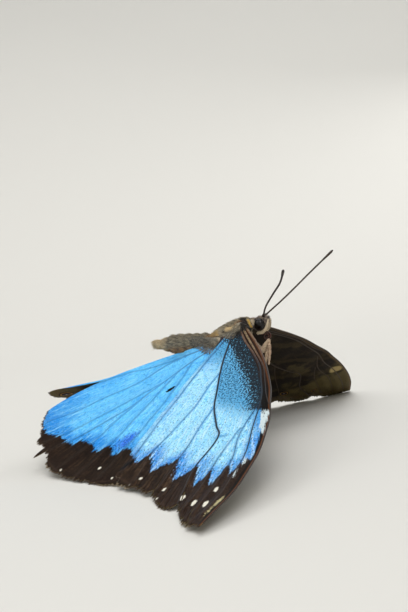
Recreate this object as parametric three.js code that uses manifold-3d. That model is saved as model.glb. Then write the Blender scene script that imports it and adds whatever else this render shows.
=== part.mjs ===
// A blue morpho butterfly at life size, standing on its four walking legs with
// its wings spread and drooping until their margins reach the floor.
// Millimetres. +X is forward, +Y is the animal's left, +Z is up, the floor is z = 0.
import * as THREE from 'three';
import { mergeVertices } from 'three/addons/utils/BufferGeometryUtils.js';
import Module from 'manifold-3d';

// ---------- driving dimensions ----------
const FOREWING_LENGTH = 72;      // root to apex
const HINDWING_LENGTH = 47;      // root to the corner beside the abdomen
const WING_THICKNESS = 0.56;
const ROOT_THICKNESS = 1.0;
const WING_GAP = 1.1;            // between the mid surfaces of fore- and hindwing
const VEIN_PLEAT = 0.22;         // height of the shallow pleats along the veins
const GAP = 0.3;                 // between pieces that touch

const THORAX_HEIGHT = 23.35;     // of the wing hinge line over the floor
const WING_PITCH = 18;           // degrees, leading edges up
const HINGE_Y = 2.8;
const HINGE_Z = 1.6;
const HINGE_X = { fore: 3.2, hind: -0.8 };

// Each side's wings lie on one curved sheet: how far they droop and sweep back,
// in degrees, how the sheet curls, in mm at 50 mm from the hinge, and how far
// the hindwing's inner fold turns down under the body.
const SHEET_REACH = 50;
const SHEETS = {
  right: {
    side: -1, droop: 31.5, sweep: { fore: 35.4, hind: 13.5 }, tuck: 0,
    curl: { out2: 3.2, cross: 2.7, along2: 1.9, out3: 2.75, out2along: 0.5 },
  },
  left: {
    side: 1, droop: 25.6, sweep: { fore: 27.2, hind: 16.2 }, tuck: 0.8,
    curl: { out2: -3.4, cross: 1.4, along2: 5.8, out3: 2.75, out2along: 0.5 },
  },
};
const SHEET_TWIST = -0.04;

const EYE = { x: 6.65, y: 1.62, z: 26.3, length: 2.3, width: 1.7, height: 2.6 };
const ANTENNA_SHAFT = 0.26;      // radius
const ANTENNA_CLUB = 0.34;
const COIL_TURNS = 1.75;         // of the rolled-up proboscis

// Body sections from front to back: [x, height of the axis, half width, half height].
const HEAD_SECTIONS = [
  [8.8, 27.1, 0.6, 0.8], [8.3, 26.85, 0.9, 1.25], [7.5, 26.55, 1.35, 1.7], [6.6, 26.4, 1.65, 1.95],
  [5.8, 26.3, 1.45, 1.75], [5.2, 26.1, 1.05, 1.3],
];
const THORAX_SECTIONS = [
  [4.62, 26.2, 1.5, 1.9], [4.0, 25.8, 2.15, 2.7], [2.7, 24.95, 2.8, 3.55], [0.8, 24.2, 3.05, 3.95],
  [-1.4, 23.8, 2.95, 3.65], [-3.2, 23.55, 2.5, 3.0], [-4.55, 23.5, 1.9, 2.15],
];
const ABDOMEN = { front: -5.1, back: -19.3, axisFront: 23.6, axisBack: 24.3, waist: 1.8, belly: 2.3, tip: 1.2 };
const ABDOMEN_SEGMENTS = 7;
const SEGMENT_GROOVE = 0.13;

// ---------- wing outlines, in mm on the flat wing: u outwards, v forwards ----------
const FORE_APEX = 70.7;          // root to apex in these outlines
const HIND_CORNER = 52.2;        // root to inner corner in these outlines
const FORE = {
  key: 'fore', scale: FOREWING_LENGTH / FORE_APEX, lift: WING_GAP / 2, centre: [2.2, 0.4],
  costa: [[0, 1.5], [13, 19], [36, 35], [59.3, 38.5]], costaSteps: 20,
  margins: [[[59.3, 38.5], [54.5, 27], [50, 14], [45, -1]]], marginSteps: 46,
  inner: [[45, -1], [34, -4.6], [14, -3.6], [0, -2]], innerSteps: 14,
  veinEnds: [0.02, 0.13, 0.24, 0.36, 0.62, 0.81, 0.96],
  lobe: 0.9, rag: 0.28,
  nicks: [[0.3, 0.02, 1.3], [0.47, 0.016, 0.8], [0.635, 0.022, 1.5], [0.95, 0.022, 1.6]],
};
const HIND = {
  key: 'hind', scale: HINDWING_LENGTH / HIND_CORNER, lift: -WING_GAP / 2, centre: [3, -1.6],
  costa: [[0, 1], [12, 7], [30, 5], [43, -5]], costaSteps: 12,
  margins: [
    [[43, -5], [48, -14], [46, -26], [38, -36]],
    [[38, -36], [31, -44], [20, -51], [11, -51]],
  ], marginSteps: 46,
  inner: [[11, -51], [5, -44], [0, -28], [0, -3]], innerSteps: 16,
  veinEnds: [0.02, 0.14, 0.27, 0.41, 0.55, 0.7, 0.85, 0.98],
  lobe: 1.1, rag: 0.3,
  nicks: [[0.33, 0.018, 1.2], [0.49, 0.018, 0.9], [0.72, 0.016, 1.0]],
};
const WING_RINGS = [0.34, 0.7, 1];

// ---------- small helpers ----------
const wasm = await Module();
wasm.setup();

const rad = THREE.MathUtils.degToRad;
const vec = (x, y, z) => new THREE.Vector3(x, y, z);

function indexed(vertices, faces) {
  const geometry = new THREE.BufferGeometry();
  geometry.setAttribute('position', new THREE.Float32BufferAttribute(vertices.flat(), 3));
  geometry.setIndex(faces.flat());
  return geometry;
}

function toSolid(geometry) {
  const bare = geometry.clone();
  bare.deleteAttribute('normal');
  bare.deleteAttribute('uv');
  const merged = mergeVertices(bare, 1e-5);
  return new wasm.Manifold(new wasm.Mesh({
    numProp: 3,
    vertProperties: new Float32Array(merged.attributes.position.array),
    triVerts: new Uint32Array(merged.index.array),
  }));
}

function toGeometry(solid) {
  const mesh = solid.getMesh();
  const geometry = new THREE.BufferGeometry();
  geometry.setAttribute('position', new THREE.BufferAttribute(new Float32Array(mesh.vertProperties), 3));
  geometry.setIndex(new THREE.BufferAttribute(new Uint32Array(mesh.triVerts), 1));
  return geometry;
}

// The largest piece that is left of a shape once the tools are cut from it.
function cut(geometry, ...tools) {
  const rest = tools.reduce((solid, tool) => solid.subtract(toSolid(tool)), toSolid(geometry));
  const pieces = rest.decompose();
  pieces.sort((a, b) => b.volume() - a.volume());
  return toGeometry(pieces[0]);
}

// A closed skin over rings of equally many points, with a point at either end.
function closedRings(rings, start, end) {
  const sides = rings[0].length;
  const vertices = [start, ...rings.flat(), end].map((p) => [p.x, p.y, p.z]);
  const last = vertices.length - 1;
  const at = (ring, i) => 1 + ring * sides + (i % sides);
  const faces = [];
  for (let i = 0; i < sides; i += 1) {
    faces.push([0, at(0, i + 1), at(0, i)]);
    for (let ring = 0; ring + 1 < rings.length; ring += 1) {
      faces.push([at(ring, i), at(ring, i + 1), at(ring + 1, i)]);
      faces.push([at(ring, i + 1), at(ring + 1, i + 1), at(ring + 1, i)]);
    }
    faces.push([at(rings.length - 1, i), at(rings.length - 1, i + 1), last]);
  }
  return outward(indexed(vertices, faces));
}

// A body piece: oval sections along X, from front to back, with rounded ends.
function bodyLoft(sections, sides, cap, grow = 0) {
  const rings = sections.map(([x, z, halfWidth, halfHeight]) => (
    Array.from({ length: sides }, (_, i) => {
      const angle = (2 * Math.PI * i) / sides;
      return vec(x, (halfWidth + grow) * Math.cos(angle), z + (halfHeight + grow) * Math.sin(angle));
    })
  ));
  const front = sections[0];
  const back = sections[sections.length - 1];
  return closedRings(rings, vec(front[0] + cap + grow, 0, front[1]), vec(back[0] - cap - grow, 0, back[1]));
}

// A leg, feeler or palp: a round tube whose radius runs through the given ones.
function limb(points, radii, sides, steps, tension = 0.5) {
  const curve = new THREE.CatmullRomCurve3(points, false, 'catmullrom', tension);
  const frames = curve.computeFrenetFrames(steps);
  const rings = [];
  for (let step = 0; step <= steps; step += 1) {
    const place = (step / steps) * (radii.length - 1);
    const low = Math.min(Math.floor(place), radii.length - 2);
    const radius = THREE.MathUtils.lerp(radii[low], radii[low + 1], place - low);
    const centre = curve.getPointAt(step / steps);
    rings.push(Array.from({ length: sides }, (_, i) => {
      const angle = (2 * Math.PI * i) / sides;
      return centre.clone()
        .addScaledVector(frames.normals[step], radius * Math.cos(angle))
        .addScaledVector(frames.binormals[step], radius * Math.sin(angle));
    }));
  }
  const tipRound = 0.5;
  const start = points[0].clone().addScaledVector(frames.tangents[0], -tipRound * radii[0]);
  const end = points[points.length - 1].clone()
    .addScaledVector(frames.tangents[steps], tipRound * radii[radii.length - 1]);
  return closedRings(rings, start, end);
}

// A folded leg: straight links that run a little past their joints, joined as one.
function foldedLimb(points, radii, sides) {
  const links = points.slice(1).map((point, i) => (
    toSolid(limb([points[i], point], [radii[i], radii[i + 1]], sides, 1))
  ));
  return toGeometry(links.reduce((whole, link) => whole.add(link)));
}

function outward(geometry) {
  const position = geometry.attributes.position;
  const index = geometry.index.array;
  const [a, b, c] = [vec(), vec(), vec()];
  let volume = 0;
  for (let i = 0; i < index.length; i += 3) {
    a.fromBufferAttribute(position, index[i]);
    b.fromBufferAttribute(position, index[i + 1]);
    c.fromBufferAttribute(position, index[i + 2]);
    volume += a.dot(b.cross(c));
  }
  if (volume < 0) {
    for (let i = 0; i < index.length; i += 3) {
      [index[i + 1], index[i + 2]] = [index[i + 2], index[i + 1]];
    }
  }
  return geometry;
}

const sides = Object.entries(SHEETS);
const mirrored = (side, points) => points.map(([x, y, z]) => vec(x, side * y, z));
const floorBlock = () => new THREE.BoxGeometry(300, 300, 20).translate(0, 0, -10);

// ---------- body ----------
const EYE_LAPS = [16, 10];
const eyeBall = (side, grow) => {
  const ball = new THREE.SphereGeometry(1, ...EYE_LAPS);
  ball.scale(EYE.length / 2 + grow, EYE.width / 2 + grow, EYE.height / 2 + grow);
  return ball.rotateY(rad(-14)).rotateZ(rad(side * 12)).translate(EYE.x, side * EYE.y, EYE.z);
};

function abdomenSections(grow = 0) {
  const sections = [];
  const rows = ABDOMEN_SEGMENTS * 2;
  for (let row = 0; row <= rows; row += 1) {
    const t = row / rows;
    const swell = Math.sin(Math.PI * Math.min(1, 0.1 + 0.62 * t)) ** 0.8;
    const taper = THREE.MathUtils.smoothstep(t, 0.55, 1);
    const groove = row % 2 === 0 ? SEGMENT_GROOVE : 0;
    const full = THREE.MathUtils.lerp(ABDOMEN.waist, ABDOMEN.belly, swell);
    const radius = THREE.MathUtils.lerp(full, ABDOMEN.tip, taper) - groove + grow;
    const x = THREE.MathUtils.lerp(ABDOMEN.front - 0.15, ABDOMEN.back + 0.5, t);
    const axis = THREE.MathUtils.lerp(ABDOMEN.axisFront, ABDOMEN.axisBack, t * t);
    sections.push([x, axis, radius * 0.97, radius]);
  }
  return sections;
}

const BODY_SIDES = 18;
const END_CAP = 0.14;
const thorax = (grow) => bodyLoft(THORAX_SECTIONS, BODY_SIDES, END_CAP, grow);
const abdomen = (grow) => bodyLoft(abdomenSections(grow), BODY_SIDES, grow > 0 ? 0.5 + grow : 0.4);

// ---------- wings ----------
const bezier = (points) => new THREE.CubicBezierCurve(...points.map(([u, v]) => new THREE.Vector2(u, v)));

// How far the worn outer margin stands out at a place along it, from 0 to 1.
function marginRelief(wing, place) {
  const ends = wing.veinEnds;
  let relief = 0;
  for (let i = 0; i + 1 < ends.length; i += 1) {
    if (place > ends[i] && place < ends[i + 1]) {
      relief = wing.lobe * Math.sin((Math.PI * (place - ends[i])) / (ends[i + 1] - ends[i]));
    }
  }
  relief += wing.rag * Math.sin(place * 151) * Math.sin(place * 67 + 1);
  for (const [at, width, depth] of wing.nicks) {
    relief -= depth * Math.max(0, 1 - Math.abs(place - at) / width);
  }
  return relief * Math.min(1, 12 * place, 12 * (1 - place));
}

function wingOutline(wing) {
  const outline = [];
  const costa = bezier(wing.costa);
  for (let i = 0; i < wing.costaSteps; i += 1) outline.push(costa.getPointAt(i / wing.costaSteps));
  const margin = new THREE.CurvePath();
  wing.margins.forEach((points) => margin.add(bezier(points)));
  for (let i = 0; i < wing.marginSteps; i += 1) {
    const place = i / wing.marginSteps;
    const along = margin.getPointAt(Math.min(1, place + 0.01)).sub(margin.getPointAt(Math.max(0, place - 0.01)));
    const out = new THREE.Vector2(-along.y, along.x).normalize();
    outline.push(margin.getPointAt(place).addScaledVector(out, marginRelief(wing, place)));
  }
  const inner = bezier(wing.inner);
  for (let i = 0; i <= wing.innerSteps; i += 1) outline.push(inner.getPointAt(i / wing.innerSteps));
  return outline;
}

// Veins fan out from the root: a shallow pleat, high on each vein, low between.
function pleat(wing, place, reach) {
  if (place < 0 || place > 1) return 0;
  const ends = wing.veinEnds;
  for (let i = 0; i + 1 < ends.length; i += 1) {
    if (place >= ends[i] && place < ends[i + 1]) {
      const between = (place - ends[i]) / (ends[i + 1] - ends[i]);
      return VEIN_PLEAT * reach * (Math.abs(2 * between - 1) - 0.5);
    }
  }
  return 0;
}

// The hindwing's inner edge folds up where it meets the abdomen and the other wing.
const FOLD = { beside: 2.75, below: 0.75, from: -8, to: -13, round: 0.5 };

function wingMiddle(sheet, wing, u, v) {
  const sweep = rad(sheet.sweep[wing.key]);
  const out = wing.scale * (u * Math.cos(sweep) + v * Math.sin(sweep));
  const along = wing.scale * (v * Math.cos(sweep) - u * Math.sin(sweep)) + HINGE_X[wing.key];
  const [p, q] = [out / SHEET_REACH, along / SHEET_REACH];
  const { out2, cross, along2, out3, out2along } = sheet.curl;
  const curl = out2 * p * p + cross * p * q + along2 * q * q + out3 * p ** 3 + out2along * p * p * q
    + SHEET_TWIST * along * THREE.MathUtils.clamp(out / 10, 0, 1);
  const over = curl + wing.lift;
  const droop = rad(sheet.droop);
  let y = HINGE_Y + out * Math.cos(droop) + over * Math.sin(droop);
  const up = HINGE_Z - out * Math.sin(droop) + over * Math.cos(droop);
  const pitch = rad(WING_PITCH);
  const x = along * Math.cos(pitch) - up * Math.sin(pitch);
  let z = along * Math.sin(pitch) + up * Math.cos(pitch) + THORAX_HEIGHT;
  if (wing.key === 'hind') {
    const least = THREE.MathUtils.lerp(FOLD.beside, FOLD.below, THREE.MathUtils.smoothstep(-x, -FOLD.from, -FOLD.to));
    const folded = least + FOLD.round * Math.log1p(Math.exp((y - least) / FOLD.round));
    z -= sheet.tuck * (folded - y);
    y = folded;
  }
  return vec(x, sheet.side * y, z);
}

function wingNormal(sheet, wing, u, v) {
  const step = 0.4;
  const alongU = wingMiddle(sheet, wing, u + step, v).sub(wingMiddle(sheet, wing, u - step, v));
  const alongV = wingMiddle(sheet, wing, u, v + step).sub(wingMiddle(sheet, wing, u, v - step));
  return alongU.cross(alongV).multiplyScalar(sheet.side).normalize();
}

function wingShell(sheet, wing) {
  const outline = wingOutline(wing);
  const [cu, cv] = wing.centre;
  const layers = [1, -1].map((face) => {
    const rings = WING_RINGS.map((reach) => outline.map((edge, i) => {
      const u = cu + reach * (edge.x - cu);
      const v = cv + reach * (edge.y - cv);
      const place = (i - wing.costaSteps) / wing.marginSteps;
      const half = WING_THICKNESS / 2;
      return wingMiddle(sheet, wing, u, v)
        .addScaledVector(wingNormal(sheet, wing, u, v), face * half + pleat(wing, place, reach));
    }));
    const centre = wingMiddle(sheet, wing, cu, cv)
      .addScaledVector(wingNormal(sheet, wing, cu, cv), (face * ROOT_THICKNESS) / 2);
    return { rings, centre };
  });
  const rings = [...layers[0].rings, ...layers[1].rings.reverse()];
  return closedRings(rings, layers[0].centre, layers[1].centre);
}

// ---------- legs, feelers and mouthparts ----------
const LEGS = {
  // root, end of the hip, knee, ankle, heel and claw, for the animal's left side
  midleg: [[1.4, 1.2, 21.6], [2.0, 2.6, 20.0], [4.6, 7.0, 15.4], [2.6, 9.4, 6.6], [1.6, 10.2, 0.5], [2.6, 12.2, 0.22]],
  hindleg: [[-1.6, 1.2, 21.2], [-2.4, 2.6, 19.6], [-6.4, 6.6, 15.0], [-7.2, 9.2, 6.4], [-8.2, 10.2, 0.5], [-9.6, 12.0, 0.22]],
};
const LEG_RADII = [0.62, 0.66, 0.6, 0.44, 0.4, 0.36, 0.36, 0.3, 0.3, 0.28];
const FORELEGS = {
  right: [[4.2, 1.0, 22.6], [5.3, 2.1, 21.0], [6.7, 2.9, 20.7], [8.5, 3.1, 22.6], [8.45, 3.2, 20.4], [7.9, 3.2, 17.4]],
  left: [[4.2, 1.0, 22.6], [5.2, 2.0, 21.0], [5.9, 2.6, 20.0], [6.9, 2.8, 21.4], [6.6, 2.9, 19.4], [6.0, 2.9, 16.8]],
};
const FORELEG_RADII = [0.5, 0.56, 0.56, 0.52, 0.44, 0.28];
const PALP = [[6.2, 1.2, 24.3], [7.2, 1.4, 24.2], [8.1, 1.5, 24.9], [8.6, 1.45, 26.1], [8.85, 1.25, 27.4]];
const PALP_RADII = [0.3, 0.4, 0.42, 0.4, 0.24];
const ANTENNAE = {
  right: [[7.6, -0.85, 28.1], [8.9, -3.6, 30.2], [11.7, -9.0, 32.8], [14.6, -15.8, 35.1], [16.7, -23.4, 37.4]],
  left: [[7.7, 0.85, 28.1], [12.4, 5.0, 31.8], [17.9, 10.4, 36.6], [23.2, 15.4, 41.1]],
};

function proboscis() {
  const coil = { x: 7.7, z: 23.45, start: 1.05, end: 0.25 };
  const points = [];
  const count = 22;
  for (let i = 0; i <= count; i += 1) {
    const turn = (COIL_TURNS * i) / count;
    const radius = THREE.MathUtils.lerp(coil.start, coil.end, i / count);
    const angle = rad(150) - 2 * Math.PI * turn;
    points.push(vec(coil.x + radius * Math.cos(angle), 0, coil.z + radius * Math.sin(angle)));
  }
  return limb(points, [0.17, 0.15, 0.12], 6, 30);
}

// ---------- the animal ----------
const material = (color, roughness) => new THREE.MeshStandardMaterial({ color, roughness, metalness: 0 });
const MATERIALS = {
  fur: material('#6b5d50', 0.9),
  eye: material('#2a1d18', 0.25),
  palp: material('#d9cdb8', 0.85),
  horn: material('#3a2a20', 0.5),
  leg: material('#a98c72', 0.7),
  wingFore: material('#7fc4f5', 0.4),
  wingHind: material('#5cb4f2', 0.4),
};

const butterfly = new THREE.Group();
function add(name, geometry, finish) {
  const mesh = new THREE.Mesh(geometry, finish);
  mesh.name = name;
  butterfly.add(mesh);
}

const eyeSockets = sides.map(([, sheet]) => eyeBall(sheet.side, GAP / 2));
add('head', cut(bodyLoft(HEAD_SECTIONS, BODY_SIDES, END_CAP), ...eyeSockets), MATERIALS.fur);
add('thorax', thorax(0), MATERIALS.fur);
add('abdomen', abdomen(0), MATERIALS.fur);
add('proboscis', proboscis(), MATERIALS.horn);

for (const [name, sheet] of sides) {
  const { side } = sheet;
  const headTool = bodyLoft(HEAD_SECTIONS, BODY_SIDES, END_CAP, GAP);
  add(`eye_${name}`, eyeBall(side, 0), MATERIALS.eye);
  add(`palp_${name}`, cut(limb(mirrored(side, PALP), PALP_RADII, 8, 8), headTool, eyeBall(side, GAP)), MATERIALS.palp);
  const feeler = mirrored(1, ANTENNAE[name]);
  const feelerRadii = [...Array(9).fill(ANTENNA_SHAFT), ANTENNA_CLUB, 0.26];
  add(`antenna_${name}`, cut(limb(feeler, feelerRadii, 6, 16), headTool), MATERIALS.horn);
  const foreleg = foldedLimb(mirrored(side, FORELEGS[name]), FORELEG_RADII, 8);
  add(`foreleg_${name}`, cut(foreleg, thorax(GAP)), MATERIALS.leg);
  for (const [leg, points] of Object.entries(LEGS)) {
    const shape = limb(mirrored(side, points), LEG_RADII, 8, 24, 0.25);
    add(`${leg}_${name}`, cut(shape, thorax(GAP), floorBlock()), MATERIALS.leg);
  }
  const blocks = [thorax(GAP), abdomen(GAP), floorBlock()];
  add(`forewing_${name}`, cut(wingShell(sheet, FORE), ...blocks), MATERIALS.wingFore);
  add(`hindwing_${name}`, cut(wingShell(sheet, HIND), ...blocks), MATERIALS.wingHind);
}

// The origin is on the floor, under the middle of the whole animal.
const box = new THREE.Box3().setFromObject(butterfly);
const middle = box.getCenter(vec());
butterfly.position.set(-middle.x, -middle.y, 0);

export default butterfly;
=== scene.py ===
"""A life-size blue morpho butterfly that rests with its worn wings spread and drooping."""

import math
from functools import partial

import bpy
import numpy as np
from mathutils import Matrix, Vector


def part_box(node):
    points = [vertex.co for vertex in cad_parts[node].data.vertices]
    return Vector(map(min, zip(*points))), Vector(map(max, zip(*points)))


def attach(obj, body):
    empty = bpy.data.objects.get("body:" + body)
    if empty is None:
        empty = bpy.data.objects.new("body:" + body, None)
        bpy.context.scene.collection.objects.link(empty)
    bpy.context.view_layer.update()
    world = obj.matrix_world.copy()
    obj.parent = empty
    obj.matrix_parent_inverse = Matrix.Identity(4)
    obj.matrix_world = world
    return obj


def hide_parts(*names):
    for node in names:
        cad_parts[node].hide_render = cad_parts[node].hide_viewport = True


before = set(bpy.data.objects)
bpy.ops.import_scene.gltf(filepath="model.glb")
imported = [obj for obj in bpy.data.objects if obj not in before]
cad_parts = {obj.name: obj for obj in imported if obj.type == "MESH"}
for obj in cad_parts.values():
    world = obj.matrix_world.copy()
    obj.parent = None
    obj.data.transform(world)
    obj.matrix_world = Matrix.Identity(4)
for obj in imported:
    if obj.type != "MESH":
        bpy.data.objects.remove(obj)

bl_info = {
    "name": "Blue Morpho Butterfly",
    "version": (1, 0, 0),
    "blender": (4, 5, 0),
    "location": "View3D > Sidebar > Butterfly",
    "description": "Gives the packed frame of a blue morpho butterfly its skin, hair, scales and wings",
    "category": "Add Mesh",
}

# Lengths below are in mm in the animal's own axes: x forward, y to its left, z up
# from the floor. HOME carries them into the frame, which is centred on the animal.
MM = 0.001
EYE_CENTRE = (6.65, 1.62, 26.3)
EYE_RADII = (1.15, 0.85, 1.3)
HOME = sum(np.array(corner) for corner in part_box("eye_left")) / 2 - np.array(EYE_CENTRE) * MM

SIDES = {"right": -1, "left": 1}
THORAX_HEIGHT, WING_PITCH, SHEET_REACH, SHEET_TWIST = 23.35, 18, 50, -0.04
HINGE_Y, HINGE_Z = 2.8, 1.6
SHEETS = {
    "right": {
        "droop": 31.5, "sweep": {"fore": 35.4, "hind": 13.5}, "tuck": 0,
        "curl": {"out2": 3.2, "cross": 2.7, "along2": 1.9, "out3": 2.75, "out2along": 0.5},
    },
    "left": {
        "droop": 25.6, "sweep": {"fore": 27.2, "hind": 16.2}, "tuck": 0.8,
        "curl": {"out2": -3.4, "cross": 1.4, "along2": 5.8, "out3": 2.75, "out2along": 0.5},
    },
}

# The flat wings, in mm: u runs outwards from the root, v forwards. The costa is the front
# edge, and "wear" is how far the worn outer margin stands out at shares of its length.
# "blue" is how far the blue reaches from the centre at each angle in degrees, and "veins"
# are paths with the radius at either end and how tan they are. Marks such as spots, wisps,
# scars and painted shadows are ovals: u, v, half length, half width and turn. "eyespots" and "cream" are
# round: u, v and radius. "tail" is where the border starts to pale towards the tip.
FORE = {
    "key": "fore", "scale": 72 / 70.7, "lift": 0.55, "hinge": 3.2, "centre": (2.2, 0.4),
    "costa": ((0, 1.5), (13, 19), (36, 35), (59.3, 38.5)),
    "margins": (((59.3, 38.5), (54.5, 27), (50, 14), (45, -1)),),
    "inner": ((45, -1), (34, -4.6), (14, -3.6), (0, -2)),
    "wear": (
        (0, 0), (0.03, 0.3), (0.07, 0.75), (0.16, 0.75), (0.25, 0), (0.33, -1.1), (0.365, -1.8),
        (0.378, -0.6), (0.42, 0.5), (0.5, 0.35), (0.57, -0.35), (0.62, -0.9), (0.645, -1.5), (0.66, -0.8),
        (0.7, -0.35), (0.77, -0.45), (0.83, 0.5), (0.91, 1.05), (0.945, 0.9), (0.96, -0.6), (0.975, 0.4),
        (1, 0),
    ),
    "blue": (
        (-90, 7), (-40, 12), (-14, 37), (-7, 36), (1.6, 39), (5.7, 36.6), (9.8, 41.6), (17.8, 40),
        (20.5, 46), (26.6, 44.5), (27.4, 50.6), (30.4, 48.5), (31.4, 53), (35, 49), (36, 53),
        (38.4, 49), (39.6, 50), (40.9, 45.7), (42.9, 42.3), (45.2, 35), (47, 29), (50, 22),
        (53, 17), (56, 12.7), (62, 7.4), (90, 3),
    ),
    "veins": (
        ("stem", 0.28, 0.19, 0.1, (
            (-1.4, -0.9), (0.5, -0.6), (3.7, -0.2), (9.1, 1.8), (14.6, 4.2), (19.8, 7.1),
            (25.2, 10.2), (30.8, 15.2), (34.1, 18.4), (42.6, 19.6), (52.2, 24.4))),
        ("hind branch", 0.17, 0.1, 0.1, (
            (14.6, 4.2), (18.3, 4.2), (25, 4.8), (32, 4.3), (39.2, 4), (47.2, 6.3))),
        ("mid branch", 0.17, 0.1, 0.1, ((25.2, 10.2), (31.3, 11), (37, 12.2), (42, 13.4), (49, 14.8))),
        ("inner vein", 0.2, 0.1, 0.2, ((-1.4, -1.4), (0.5, -1.5), (14, -2.0), (30, -1.6), (45.2, 0.6))),
        ("cell end", 0.12, 0.08, 0, ((33.9, 18.6), (33.8, 19.6), (33.6, 20.4))),
        ("radius", 0.27, 0.12, 0.6, (
            (0.3, 0.2), (1.7, 1.5), (4.8, 4.6), (9, 9.7), (13.1, 14), (17, 16.9), (20.8, 19.7),
            (24.7, 22.1), (30.4, 24.6), (37.5, 28.8), (47, 32.9), (58.4, 36.4))),
        ("first middle", 0.15, 0.1, 0.1, (
            (25.3, 21.8), (30.4, 22.5), (34.8, 24.1), (42.2, 28.2), (56.4, 32.4))),
        ("second middle", 0.13, 0.1, 0.1, ((31.6, 22.2), (38, 23), (44.1, 25), (54.6, 28.6))),
        ("subcosta", 0.28, 0.13, 0.95, (
            (0.5, 1.2), (1.8, 2.6), (4.8, 5.9), (9.1, 10.7), (13.1, 15), (17, 17.9),
            (20.9, 20.8), (24, 23.6), (26, 25.6))),
    ),
    "spots": (
        (45.5, 6.9, 0.45, 0.35, 10), (47.3, 5.4, 0.3, 0.25, 0), (48.2, 16.4, 0.55, 0.42, 20),
        (50.9, 17.2, 0.4, 0.32, 20), (50.7, 24.2, 0.75, 0.6, 25), (52.5, 29.3, 0.95, 0.5, 28),
        (53.0, 32.8, 1.0, 0.5, 30), (49.1, 31.4, 0.75, 0.45, 28),
    ),
    "wisps": ((52.8, 36.0, 1.5, 0.42, 15), (55.6, 36.6, 0.8, 0.3, 10)),
    "flecks": ((45.4, 32.4, 1.5, 0.42, 32), (41.5, 31.6, 0.9, 0.3, 30)),
    "bruise": (),
    # the forewing's one oval is a painted shadow: the dark gap under its rear corner, where it lies over the
    # hindwing
    "scars_and_shadows": ((42.3, -0.2, 1.8, 0.5, 147),),
    "bar": (
        (26.0, 23.8), (26.2, 25.5), (28.5, 26.9), (31.2, 28.2),
        (34.0, 30.0), (33.6, 28.9), (30.8, 26.3), (28.4, 24.9),
    ),
    "eyespots": ((40.2, 6.5, 1.5), (44.2, 15.2, 1.25), (47.5, 24.5, 0.9)),
    "cream": (36.6, 29.0, 2.3),
    "patch": ((30, 17, 7, 3.4, 28),),
    "tail": 36,
}
HIND = {
    "key": "hind", "scale": 47 / 52.2, "lift": -0.55, "hinge": -0.8, "centre": (3, -1.6),
    "costa": ((0, 1), (12, 7), (30, 5), (43, -5)),
    "margins": (((43, -5), (48, -14), (46, -26), (38, -36)), ((38, -36), (31, -44), (20, -51), (11, -51))),
    "inner": ((11, -51), (5, -44), (0, -28), (0, -3)),
    "wear": (
        (0, 0.2), (0.08, 0.9), (0.19, 1.35), (0.25, 0.6), (0.3, -0.1), (0.33, -0.9), (0.35, -0.2),
        (0.4, -0.55), (0.44, -0.1), (0.48, -0.3), (0.52, 0.3), (0.58, 0.7), (0.61, 0.5), (0.635, -0.3),
        (0.66, -0.7),
        (0.683, -1.2), (0.69, 1.6), (0.696, 2.6), (0.704, 1.2), (0.715, -0.8), (0.74, -0.4), (0.765, 0.3),
        (0.785, 0.6), (0.8, -0.6), (0.87, -0.8), (0.93, -0.1), (0.97, 0.5), (1, 0.8),
    ),
    "blue": (
        (200, 8), (240, 36), (262, 54), (277, 54), (290, 49.4), (295.1, 47.7), (299.7, 44.4), (302.8, 43.9),
        (307.5, 42.6), (307.7, 40.6), (315.3, 38.8), (318.6, 40.2), (324.6, 36.8), (329.2, 38.7),
        (333, 35.9), (341, 36.4), (350, 33.5), (360, 32), (375, 20), (400, 9), (500, 5),
    ),
    "veins": (
        ("inner vein", 0.22, 0.1, 0.3, (
            (-1, -1.4), (1.2, -3), (2.6, -9), (4.6, -16), (8.6, -21.7), (12.3, -32.2), (14.9, -38.6),
            (17.8, -49.6))),
        ("fold vein", 0.18, 0.1, 0.3, (
            (-1, -2.2), (1.4, -5), (3.2, -13), (4, -20.7), (3.4, -28), (4.4, -40))),
        ("stem", 0.26, 0.12, 0.3, (
            (-1, -0.8), (1.8, -2.4), (6.5, -8.4), (12, -14.6), (18, -20.6), (22.6, -27),
            (25.3, -31.9), (28, -37.4), (30.6, -43.4))),
        ("hind branch", 0.14, 0.1, 0.1, (
            (12, -14.6), (17.4, -24.4), (21.6, -33), (25, -40.2), (26.6, -45.6))),
        ("mid branch", 0.14, 0.1, 0.1, ((18, -20.6), (24.4, -25.4), (30.6, -29.6), (37.3, -36.4))),
        ("first middle", 0.14, 0.1, 0.1, ((9, -11.4), (16, -14.6), (25, -19.4), (33, -23.6), (42.6, -29.4))),
        ("second middle", 0.14, 0.1, 0.1, ((6.5, -8), (14, -9.8), (25, -13.9), (35, -18), (45.6, -22))),
        ("radius", 0.2, 0.1, 0.3, ((-1, -0.4), (3.6, -2.4), (10, -5), (25, -8.4), (36, -10.8), (46, -13.6))),
        ("costal", 0.2, 0.1, 0.5, ((-1, 0), (2, 0.2), (10, 0.6), (22, -0.6), (34, -2.8), (43, -5.6))),
    ),
    "spots": ((37.6, -35.2, 0.4, 0.35, 0), (39.8, -23.5, 0.5, 0.45, 0), (44.9, -17.9, 0.4, 0.35, 0),
              (42.6, -11.5, 0.45, 0.4, 0)),
    "wisps": (),
    "flecks": (),
    "bruise": ((31.8, -19.0, 3.8, 2.6, -45),),
    "scars_and_shadows": ((15.8, -11.8, 1.3, 0.66, 118),),
    "bar": (),
    "eyespots": (
        (35.5, -11.5, 2.8), (33.5, -24.5, 1.9), (28.6, -31.8, 1.9), (20.5, -38.5, 1.7), (14.0, -47.2, 1.8),
    ),
    "cream": (27, -1.4, 1.6),
    "patch": ((13.5, -41, 3.6, 3.0, 90),),
    "tail": 34,
}
WINGS = {"forewing": FORE, "hindwing": HIND}

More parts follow.
